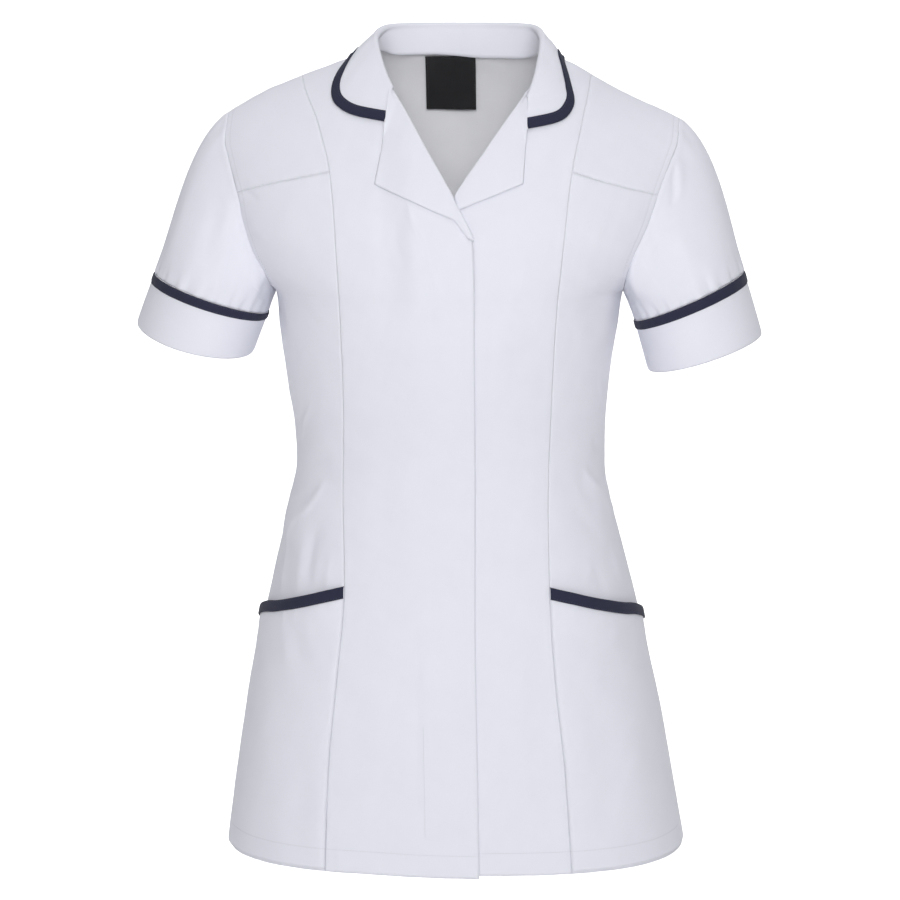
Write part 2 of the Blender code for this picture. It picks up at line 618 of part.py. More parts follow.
def sleeve_grid(who):
    """Rings of the sleeve from just outside the armhole seam to the strip."""
    start, body_normal, turn = armhole_loop(who)
    end = sleeve_ring(who, 0.0, turn)
    up = np.clip(np.cos(turn), 0.0, 1.0)[:, None] ** 1.3
    down = np.clip(-np.cos(turn), 0.0, 1.0)[:, None] ** 1.3
    sides = np.abs(np.sin(turn))[:, None]
    bulge = mirrored(CAP_SIDE, who) * np.array([1.0, 0.0, 1.0]) \
        - np.sin(turn)[:, None] * np.array([0.0, CAP_SIDE[1], 0.0])
    leave = unit(up * mirrored(CAP_TOP, who) + down * mirrored(CAP_UNDER, who) + sides * bulge)
    chord = np.linalg.norm(end - start, axis=1)[:, None]
    arrive = unit(np.array(SLEEVE_END[who]))
    first = start + leave * SEAM_GAP
    rings = []
    for t in np.linspace(0.0, 1.0, SLEEVE_RINGS + 1):
        h00, h10 = (1 + 2 * t) * (1 - t) ** 2, t * (1 - t) ** 2
        h01, h11 = t * t * (3 - 2 * t), t * t * (t - 1)
        rings.append(h00 * first + h10 * 0.8 * chord * leave + h01 * end + h11 * chord * arrive)
    return np.array(rings), leave, body_normal


def tube_normals(rings):
    """Directions out of a tube, whose rings all turn the same way."""
    around = np.roll(rings, -1, axis=1) - np.roll(rings, 1, axis=1)
    along = np.gradient(rings, axis=0)
    normals = unit(np.cross(around, along))
    outward = rings - rings.mean(axis=1, keepdims=True)
    way = np.sign(np.sum(normals * outward))
    return normals * way


def sleeve(who, finish):
    rings, leave, body_normal = sleeve_grid(who)
    normals = tube_normals(rings)
    folds_in = np.sum(leave * body_normal, axis=1) < 0
    normals[0] = np.where(folds_in[:, None], body_normal, normals[0])
    rings[-1] = rings[-1] * 0.5 + sleeve_ring(who, cuff_share(BINDING), armhole_loop(who)[2]) * 0.5
    return add_wall("sleeve_" + who, rings, -normals, CLOTH, finish, closed=True)


def cuff_share(distance):
    """Share of the way from the strip's top to the hem at a distance from the strip's top."""
    return distance / STRIP_TO_HEM


def cuff(who, finish):
    turn = armhole_loop(who)[2]
    start = cuff_share(BINDING / 2 + SEAM_GAP * 2)
    rings = np.array([sleeve_ring(who, share, turn) for share in np.linspace(start, 1.0, 3)])
    return add_wall("cuff_" + who, rings, -tube_normals(rings), CLOTH, finish, closed=True)


def cuff_strip(who, finish):
    turn = armhole_loop(who)[2]
    rings = np.array([sleeve_ring(who, share, turn) for share in (0.0, cuff_share(BINDING))])
    normals = tube_normals(rings)
    rings = rings + normals * (SEAM_GAP * 2 + BINDING_WALL)
    return add_wall("cuff_strip_" + who, rings, -normals, BINDING_WALL, finish, closed=True)


def outside(points):
    """Above zero outside the arches of the cloth, below zero inside them."""
    x, y, z = points[..., 0], points[..., 1], points[..., 2]
    value = np.zeros_like(x)
    for side, here in (("front", y < SIDE_Y), ("back", y >= SIDE_Y)):
        rise, reach = ARCH[side]
        up = np.clip((z - UNDERARM) / (shoulder_height(x) - UNDERARM), 0.0, None)
        level = UNDERARM + RISE * np.arcsin(np.clip(up, 0.0, 1.0) ** (rise / 2)) / (math.pi / 2)
        square = ring_value("squareness", level)
        part = np.abs(x - ring_value("centre", level)) / ring_value("half_width", level)
        depth = ring_value(side, level) * np.clip(1 - part ** square, 0.01, 1.0) ** (1 / square)
        value = np.where(here, up ** rise + (np.abs(y - SIDE_Y) / depth) ** reach - 1, value)
    return value


def seat_on_cloth(points, distance, only_push=False):
    """Moves points to a distance out from the cloth, or out to it at least."""
    step = 0.0005
    points = np.array(points, float)
    for _ in range(8):
        slope = np.stack([(outside(points + axis * step) - outside(points - axis * step)) / (2 * step)
                          for axis in np.eye(3)], axis=-1)
        steep = np.linalg.norm(slope, axis=-1, keepdims=True)
        short = distance - outside(points)[..., None] / steep
        if only_push:
            short = np.maximum(short, 0.0)
        points += slope / steep * np.clip(short, -0.004, 0.004)
    return points


def neck_seam(who):
    """The neck seam from the middle of the back to the head of the lapel, and its normals."""
    way = -1.0 if who == "right" else 1.0
    places = NECK_CENTRE + way * NECK_PLACES
    levels = level_behind(places)
    angles = theta_at(places, levels)
    inner = Seam(RIGHT_INNER if who == "right" else LEFT_INNER, "front")
    head = level_at(ROLL_HEAD[who][0], ROLL_HEAD[who][1], "front")
    front_levels = np.linspace(TOP, head, len(COLLAR_FRONT[who]) + 1)[1:]
    front_angles = inner.theta(front_levels)
    points = np.concatenate([cloth_point(angles, levels, "back"),
                             cloth_point(front_angles, front_levels, "front")])
    normals = np.concatenate([cloth_normal(angles, levels, "back"),
                              cloth_normal(front_angles, front_levels, "front")])
    return points, normals


def collar_side(who):
    """Middle of the collar's wall: a row for each station, from its neck seam to its edge."""
    way = -1.0 if who == "right" else 1.0
    rows = COLLAR_BACK + COLLAR_FRONT[who]
    seam, normals = neck_seam(who)
    roll = np.array([[NECK_CENTRE + way * row.roll_x, row.roll_y, row.roll_z] for row in rows])
    edge = np.array([[NECK_CENTRE + way * row.edge_x, row.edge_y, row.edge_z] for row in rows])
    edge = seat_on_cloth(edge, COLLAR_LIFT)
    radius = np.array(column(rows, "radius"))[:, None]
    run = unit(np.gradient(seam, axis=0))
    inwards = unit(np.cross(run, normals))
    to_neck = np.array([NECK_CENTRE, 0.0, 0.0]) - seam
    inwards *= np.sign(np.sum(inwards * to_neck, axis=1, keepdims=True))
    base = seam + inwards * (SEAM_GAP * 2 + CLOTH / 2) - normals * CLOTH / 2
    fall = unit(edge - roll)
    along = unit(np.gradient(roll, axis=0))
    away = unit(np.cross(along, fall))
    away *= np.sign(np.sum(away * normals, axis=1, keepdims=True))
    middle = roll + fall * radius
    grid = [base]
    for turn in np.radians([-90, -45, 0, 45, 90]):
        grid.append(middle + (away * math.sin(turn) - fall * math.cos(turn)) * radius)
    start = grid[-1]
    for share in (0.25, 0.5, 0.75):
        bow = math.sin(share * math.pi) * 0.0015
        laid = start * (1 - share) + edge * share + away * bow
        grid.append(seat_on_cloth(laid, COLLAR_LIFT, only_push=True))
    grid.append(edge)
    return np.stack(grid, axis=1)


def collar_grid():
    right = collar_side("right")
    left = collar_side("left")
    return np.concatenate([right[::-1], left[1:]])


def sheet_normals(grid):
    across = np.gradient(grid, axis=1)
    along = np.gradient(grid, axis=0)
    return unit(np.cross(along, across))


def collar(finish):
    grid = collar_grid()
    normals = sheet_normals(grid)
    return add_wall("collar", grid + normals * CLOTH / 2, -normals, CLOTH, finish)


def collar_binding(finish):
    """Dark strip on the fall of the collar, along its edge."""
    grid = collar_grid()
    normals = sheet_normals(grid)
    edge, before = grid[:, -1], grid[:, -2]
    up = unit(before - edge)
    run = unit(np.gradient(edge, axis=0))
    sine = np.linalg.norm(np.cross(up, run), axis=1, keepdims=True)
    width = np.minimum(BINDING / sine, np.linalg.norm(before - edge, axis=1, keepdims=True) * 0.95)
    strip = np.stack([edge, edge + up * width / 2, edge + up * width], axis=1)
    side = np.stack([normals[:, -1]] * 3, axis=1)
    out = strip + side * (CLOTH / 2 + SEAM_GAP * 2.5 + BINDING_WALL)
    return add_wall("collar_binding", out, -side, BINDING_WALL, finish)


def lapel(who, finish):
    """The turned-back front: over the panel, round its roll line, level with its inner face."""
    rows = LAPELS[who]
    inner = Seam(RIGHT_INNER if who == "right" else LEFT_INNER, "front")
    head = level_at(*ROLL_HEAD[who], "front")
    foot = level_at(*ROLL_FOOT[who], "front")
    places = np.linspace(rows[0].along + LAPEL_START, rows[-1].along, LAPEL_ROWS)
    levels = head + (foot - head) * places
    roll = cloth_point(inner.theta(levels), levels, "front")[:, [0, 2]]
    along = column(rows, "along")
    outer = np.stack([smooth(along, column(rows, "outer_x"), places),
                      smooth(along, column(rows, "outer_z"), places)], axis=1)
    way = unit(outer - roll)
    width = np.linalg.norm(outer - roll, axis=1)
    bend = CLOTH + LAY_GAP
    lie = LAY_GAP + CLOTH / 2
    columns = [(roll - way * bend, -CLOTH / 2), (roll - way * bend * 0.72, lie * 0.6)]
    for share in np.linspace(0.0, 1.0, LAPEL_COLUMNS):
        columns.append((roll + way * (width * share)[:, None], lie))
    flat = np.stack([spot for spot, _ in columns], axis=1)
    out = np.array([lift for _, lift in columns])[None, :] * np.ones(flat.shape[:2])
    level = level_at(flat[..., 0], flat[..., 1], "front")
    theta = theta_at(flat[..., 0], level)
    if who == "right":
        out = out + right_front_lift(theta, level)
    grid, normals = laid_cloth(theta, level, "front", out)
    facing = sheet_normals(grid)
    facing *= np.sign(np.sum(facing * normals))
    return add_wall("lapel_" + who, grid + facing * CLOTH / 2, -facing, CLOTH, finish)


def mouth_level(theta, level_guess):
    x = cloth_point(theta, level_guess, "front")[..., 0] - ring_value("centre", level_guess)
    round_side = ease((np.abs(theta) - MOUTH_TURN) / (math.pi / 2 - MOUTH_TURN))
    return smooth(*zip(*MOUTH), np.abs(x)) - MOUTH_FALL * round_side


def pocket_grid(who, columns, shares):
    """Angles and levels of the pocket, whose top follows the mouth; share 1 is the mouth."""
    way = -1.0 if who == "right" else 1.0
    seam = Seam(seam_rows(FRONT_SEAM, who), "front")
    across = np.linspace(0.0, 1.0, columns)
    top = np.full(columns, MOUTH[1][1])
    for _ in range(4):
        theta_top = seam.theta(top) * (1 - across) + way * math.pi / 2 * across
        top = mouth_level(theta_top, top)
    foot = HEM + POCKET_UP
    levels = foot + (top - foot)[None, :] * shares[:, None]
    start = seam.theta(levels.ravel()).reshape(levels.shape)
    theta = start * (1 - across) + way * math.pi / 2 * across
    return theta, levels, top


def pocket_out(levels, top):
    """Distance of the pocket's face from the cloth: it stands off at its mouth, between its ends."""
    below = np.clip((top[None, :] - levels) / POCKET_EASE, 0.0, 1.0)
    across = np.linspace(0.0, 1.0, levels.shape[1])
    from_end = ease(np.minimum(across, 1 - across) / POCKET_END)
    return CLOTH + LAY_GAP + POCKET_GAPE * (1 - ease(below)) * from_end


def pocket(who, finish):
    shares = np.concatenate([np.linspace(0.0, 0.80, 8), [0.87, 0.93, 0.97, 1.0]])
    theta, levels, top = pocket_grid(who, FRONT_COLUMNS, shares)
    points, normals = laid_cloth(theta, levels, "front", pocket_out(levels, top))
    points = pull_in(points, bottom=False, top=False)
    return add_wall("pocket_" + who, points, -normals, CLOTH, finish)


def pocket_binding(who, finish):
    """Strip on the pocket's face along the mouth, which it stands just above."""
    theta, levels, top = pocket_grid(who, FRONT_COLUMNS, np.array([1.0]))
    drops = np.array([BINDING, BINDING / 2, 0.0])[:, None] - BINDING_OVER
    levels = top[None, :] - drops
    theta = np.repeat(theta, len(drops), axis=0)
    out = pocket_out(levels, top) + SEAM_GAP + LAY_GAP / 2 + BINDING_WALL
    points, normals = laid_cloth(theta, levels, "front", out)
    return add_wall("pocket_binding_" + who, points, -normals, BINDING_WALL, finish)


def label(finish):
    """Bare label hung from the back neck seam, against the inside of the back."""
    x = np.linspace(LABEL_X[0], LABEL_X[1], 5)
    height = LABEL_TOP - np.linspace(LABEL_HEIGHT, 0.0, 6)[:, None]
    levels = level_at(x[None, :], height, "back")
    theta = theta_at(x[None, :] * np.ones_like(levels), levels)
    points, normals = laid_cloth(theta, levels, "back", -CLOTH - LABEL_GAP)
    return add_wall("neck_label", points, -normals, LABEL_WALL, finish)


def build():
    for old in list(bpy.data.objects):
        bpy.data.objects.remove(old)
    white = material("white_cloth", WHITE_CLOTH, 0.85)
    dark = material("dark_binding", DARK_CLOTH, 0.8)
    black = material("label_cloth", LABEL_CLOTH, 0.7)
    back(white)
    for who in ("right", "left"):
        front_centre(who, white)
        side_front(who, white)
        front_yoke(who, white)
        sleeve(who, white)
        cuff(who, white)
        cuff_strip(who, dark)
        pocket(who, white)
        pocket_binding(who, dark)
        lapel(who, white)
    collar(white)
    collar_binding(dark)
    label(black)


build()
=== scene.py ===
"""The tunic's looks: each cut piece as a thin shell on the form of its solid, with its creases."""
import math

import bpy
import numpy as np
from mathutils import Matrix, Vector


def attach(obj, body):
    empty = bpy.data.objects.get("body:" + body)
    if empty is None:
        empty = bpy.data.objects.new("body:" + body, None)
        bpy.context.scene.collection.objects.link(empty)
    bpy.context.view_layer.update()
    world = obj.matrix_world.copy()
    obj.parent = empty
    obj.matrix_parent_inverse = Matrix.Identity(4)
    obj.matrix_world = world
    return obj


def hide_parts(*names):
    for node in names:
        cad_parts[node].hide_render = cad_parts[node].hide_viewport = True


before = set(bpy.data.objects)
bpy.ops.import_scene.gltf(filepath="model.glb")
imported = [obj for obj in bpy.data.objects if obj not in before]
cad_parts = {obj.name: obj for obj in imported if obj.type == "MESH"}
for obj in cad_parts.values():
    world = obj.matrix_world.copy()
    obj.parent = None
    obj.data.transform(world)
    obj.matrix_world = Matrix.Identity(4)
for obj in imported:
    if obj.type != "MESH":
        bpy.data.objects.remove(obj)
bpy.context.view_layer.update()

QUARTER = math.pi / 2
WAY = {"right": -1.0, "left": 1.0}      # the wearer's right is on the -X side


def table(columns, rows):
    """A table of numbers as one array for each named column."""
    return dict(zip(columns.split(), np.array(rows).T))


# The solids' own values, repeated here
UNDERARM = -0.205
RISE = 0.2
TOP = UNDERARM + RISE
YOKE_LEVEL = -0.122
HEM = -0.7065
HEM_DROP = 0.0025
SIDE_Y = 0.006
OVERLAP_LIFT = 0.0018
LAPEL_LIFT = 0.0044
LAPEL_FOOT = -0.235
LAPEL_EASE = 0.05
OVERLAP_IN = -0.028
OVERLAP_OUT = -0.06
UNDERLAP_X = -0.018
BINDING = 0.0085
POCKET_GAPE = 0.0034
POCKET_EASE = 0.045
POCKET_END = 0.15
MOUTH_TURN = 1.15
MOUTH_FALL = 0.004
POCKET_UP = 0.002
NECK_CENTRE = 0.005
COLLAR_LIFT = 0.0022
LABEL_HEIGHT = 0.048
LABEL_TOP = 0.0048
LABEL_X = (-0.0273, 0.0191)
RINGS = table("height half_width front back centre squareness", [
    (-0.7065, 0.2085, 0.152, 0.134, 0.0028, 2.7),
    (-0.64, 0.198, 0.148, 0.13, 0.0013, 2.65),
    (-0.583, 0.1885, 0.144, 0.125, 0.0004, 2.6),
    (-0.53, 0.178, 0.138, 0.119, -0.001, 2.55),
    (-0.49, 0.169, 0.131, 0.112, -0.0008, 2.5),
    (-0.455, 0.1608, 0.123, 0.104, -0.0016, 2.45),
    (-0.42, 0.152, 0.114, 0.094, -0.0021, 2.4),
    (-0.39, 0.1447, 0.109, 0.086, -0.003, 2.35),
    (-0.36, 0.14, 0.107, 0.082, -0.0022, 2.32),
    (-0.33, 0.1408, 0.111, 0.085, -0.003, 2.3),
    (-0.3, 0.1437, 0.117, 0.09, -0.004, 2.3),
    (-0.265, 0.148, 0.124, 0.095, -0.0045, 2.3),
    (-0.235, 0.1525, 0.127, 0.098, -0.004, 2.3),
    (-0.205, 0.1565, 0.126, 0.099, -0.0035, 2.3),
    (-0.195, 0.163, 0.126, 0.1, -0.0033, 2.3),
    (-0.185, 0.173, 0.126, 0.1, -0.003, 2.3),
    (-0.163, 0.191, 0.126, 0.101, -0.002, 2.3),
    (-0.14, 0.203, 0.125, 0.101, -0.001, 2.3),
    (-0.119, 0.212, 0.123, 0.101, 0, 2.3),
    (-0.08, 0.222, 0.121, 0.101, 0.002, 2.3),
    (-0.04, 0.23, 0.118, 0.101, 0.004, 2.3),
    (-0.005, 0.235, 0.116, 0.1, 0.005, 2.3),
])

ARCH = {"front": (1.6, 1.4), "back": (2, 2)}

SHOULDERS = table("across right left", [
    (0, 0.034, 0.034),
    (0.07, 0.0105, 0.0105),
    (0.105, -0.0017, -0.0017),
    (0.133, -0.0122, -0.0176),
    (0.16, -0.0229, -0.0315),
    (0.182, -0.0336, -0.0413),
    (0.21, -0.051, -0.055),
])

# Seams: how far out they lie on each side, at each height
FRONT_SEAM = table("height right left", [
    (0.02, 0.137, 0.124),
    (-0.025, 0.131, 0.121),
    (-0.06, 0.1155, 0.1135),
    (-0.098, 0.105, 0.106),
    (-0.152, 0.099, 0.1),
    (-0.205, 0.0955, 0.0944),
    (-0.29, 0.093, 0.0898),
    (-0.38, 0.0945, 0.087),
    (-0.461, 0.092, 0.0885),
    (-0.54, 0.098, 0.094),
    (-0.615, 0.105, 0.1025),
    (-0.7065, 0.108, 0.109),
])

ARMHOLES = {
    "front": table("height right left", [
        (0.02, 0.2025, 0.203),
        (-0.05, 0.2025, 0.203),
        (-0.07, 0.2035, 0.2005),
        (-0.09, 0.1985, 0.193),
        (-0.119, 0.189, 0.1815),
        (-0.142, 0.184, 0.1735),
        (-0.167, 0.1755, 0.162),
        (-0.19, 0.164, 0.1545),
        (-0.205, 0.16, 0.153),
    ]),
    "back": table("height right left", [
        (0.02, 0.2025, 0.203),
        (-0.05, 0.2025, 0.203),
        (-0.08, 0.202, 0.2),
        (-0.12, 0.196, 0.19),
        (-0.15, 0.187, 0.179),
        (-0.175, 0.175, 0.167),
        (-0.193, 0.165, 0.157),
        (-0.205, 0.16, 0.153),
    ]),
}

# Inner edge of each front: the neck opening, then the fly or its underlap
INNER = {
    "right": table("height place", [
        (0.02, -0.067), (-0.002, -0.0655), (-0.014, -0.06), (-0.025, -0.053),
        (-0.073, -0.0245), (-0.121, 0.003), (-0.16, 0.021), (-0.206, 0.0225),
        (-0.333, 0.023), (-0.457, 0.0235), (-0.628, 0.0268), (-0.7065, 0.0282),
    ]),
    "left": table("height place", [
        (0.02, 0.077), (-0.003, 0.0765), (-0.017, 0.072), (-0.03, 0.065),
        (-0.0755, 0.034), (-0.121, 0.003), (-0.155, -0.015), (-0.206, UNDERLAP_X),
        (-0.457, UNDERLAP_X), (-0.7065, UNDERLAP_X),
    ]),
}

BACK_NECK = table("across behind", [
    (0, 0.046),
    (0.0185, 0.0425),
    (0.037, 0.0365),
    (0.053, 0.0303),
    (0.062, 0.024),
    (0.068, 0.014),
    (0.072, 0),
])

MOUTH = table("across height", [
    (0.085, -0.4575), (0.12, -0.4695), (0.15, -0.48), (0.167, -0.4875), (0.172, -0.495),
])

# Rings of the sleeve's end and of the hem: x, z, half width, half depth, slope, drop
SLEEVES = {
    "right": [
        (-0.2175, -0.2067, 0.0541, 0.061, 19.4, 0.0025),
        (-0.2318, -0.2458, 0.0545, 0.0625, 14.3, 0.011),
    ],
    "left": [
        (0.2119, -0.2087, 0.0537, 0.061, 24.4, 0.0015),
        (0.2262, -0.2587, 0.0537, 0.0625, 17.9, 0.0045),
    ],
}

SLEEVE_Y = -0.004
STRIP_TO_HEM = 0.045
CAP_TOP = (-0.85, 0, -0.53)
CAP_SIDE = (-0.35, 0.26, -0.9)
CAP_UNDER = (-0.36, 0, -0.93)
SLEEVE_END = {"right": (-0.34, 0, -0.94), "left": (0.28, 0, -0.96)}

# Collar: x, y, z of its roll, x, y, z of its edge, radius of the roll
COLLAR_BACK = [
    (0, 0.06, 0.0335, 0, 0.066, -0.012, 0.0028),
    (0.02, 0.0585, 0.0335, 0.024, 0.0655, -0.012, 0.0028),
    (0.039, 0.053, 0.0333, 0.047, 0.061, -0.012, 0.0028),
    (0.0555, 0.044, 0.0325, 0.068, 0.053, -0.01, 0.0028),
    (0.0655, 0.0345, 0.031, 0.081, 0.04, -0.006, 0.0028),
    (0.0705, 0.0215, 0.027, 0.0885, 0.024, -0.001, 0.0028),
    (0.0722, 0.006, 0.022, 0.0935, 0.008, 0.002, 0.0028),
]

COLLAR_FRONT = {
    "right": [
        (0.0722, 0.0015, 0.02, 0.0985, -0.004, -0.001, 0.0027),
        (0.0718, -0.0035, 0.0165, 0.1047, -0.012, -0.0051, 0.0026),
        (0.0708, -0.0095, 0.012, 0.109, -0.02, -0.0165, 0.0024),
        (0.069, -0.0165, 0.006, 0.1104, -0.026, -0.0261, 0.0022),
        (0.0665, -0.024, -0.001, 0.1088, -0.032, -0.0347, 0.002),
        (0.0635, -0.0315, -0.009, 0.104, -0.037, -0.042, 0.0018),
        (0.06, -0.0385, -0.0162, 0.09, -0.046, -0.0505, 0.0017),
        (0.0565, -0.044, -0.0232, 0.0595, -0.055, -0.0568, 0.0016),
    ],
    "left": [
        (0.0728, 0.0015, 0.02, 0.0925, -0.004, -0.001, 0.0027),
        (0.0728, -0.0035, 0.016, 0.095, -0.012, -0.0105, 0.0026),
        (0.0724, -0.01, 0.011, 0.0975, -0.021, -0.02, 0.0024),
        (0.0716, -0.0175, 0.0045, 0.0997, -0.028, -0.0295, 0.0022),
        (0.0702, -0.027, -0.0025, 0.1014, -0.034, -0.037, 0.002),
        (0.0685, -0.0358, -0.0112, 0.099, -0.04, -0.045, 0.0018),
        (0.066, -0.043, -0.0196, 0.089, -0.048, -0.056, 0.0017),
        (0.063, -0.0495, -0.0286, 0.0606, -0.058, -0.0619, 0.0016),
    ],
}

LAPELS = {
    "right": table("along outer_x outer_z", [
        (0, -0.056, -0.056),
        (0.15, -0.059, -0.073),
        (0.31, -0.062, -0.09),
        (0.47, -0.065, -0.107),
        (0.6, -0.041, -0.1185),
        (0.73, -0.0175, -0.129),
        (0.86, 0.0055, -0.138),
        (0.97, 0.017, -0.154),
    ]),
    "left": table("along outer_x outer_z", [
        (0, 0.066, -0.0617),
        (0.15, 0.0655, -0.0765),
        (0.31, 0.0648, -0.0915),
        (0.46, 0.064, -0.1065),
        (0.56, 0.045, -0.114),
        (0.66, 0.026, -0.1215),
        (0.76, 0.007, -0.129),
    ]),
}

ROLL_FOOT = {"right": (0.0205, -0.159), "left": (-0.015, -0.155)}
ROLL_HEAD = {"right": (-0.053, -0.025), "left": (0.065, -0.03)}

# Cloth as it looks: real walls and gaps
WALL = 0.0007
EDGE_WALL = 0.0013        # along a hem or a faced edge
COLLAR_WALL = 0.0013
BINDING_WALL = 0.0006
REST_GAP = 0.0004         # between a piece and what it lies on
SEWN_DOWN = 0.0004        # height of a pocket's edge above the cloth, at its seams
POCKET_SEWN = 0.03        # share of a pocket's width over which it sinks to that
INSIDE_MARK = 4.0         # added to the stitch map's offset on the inside of the cloth
HEM_DEPTH = 0.02
ARMHOLE_STITCH = 0.006
FLY_DEPTH = 0.047
CUFF_WALL = WALL + 0.0009
LABEL_WALL = 0.0006
TRIM_STITCH = 0.0013      # from a cuff strip's edges to its stitches
LABEL_STITCH = 0.0016
THREAD_HALF = 0.00032     # half the thread's width
STITCH_LENGTH = 0.0026
NO_STITCH = 1.0           # the least flat size worked out for a piece
LEAST_SIZE = 0.0125       # the least flat size that is stated
PER_DEGREE = 0.36 / 360   # about the way round a sleeve, for each degree
SLEEVE_LENGTH = 0.16      # about, along the sleeve
PUCKER_WIDTH = 0.0024
CAP_TUCK = 0.0006         # the sleeve starts this far inside the armhole's seam
SPARE_GAP = 0.0002
FLY_TOP = -0.56           # the fly's stitches show from this level
FLY_FOOT = -0.678         # down to this one

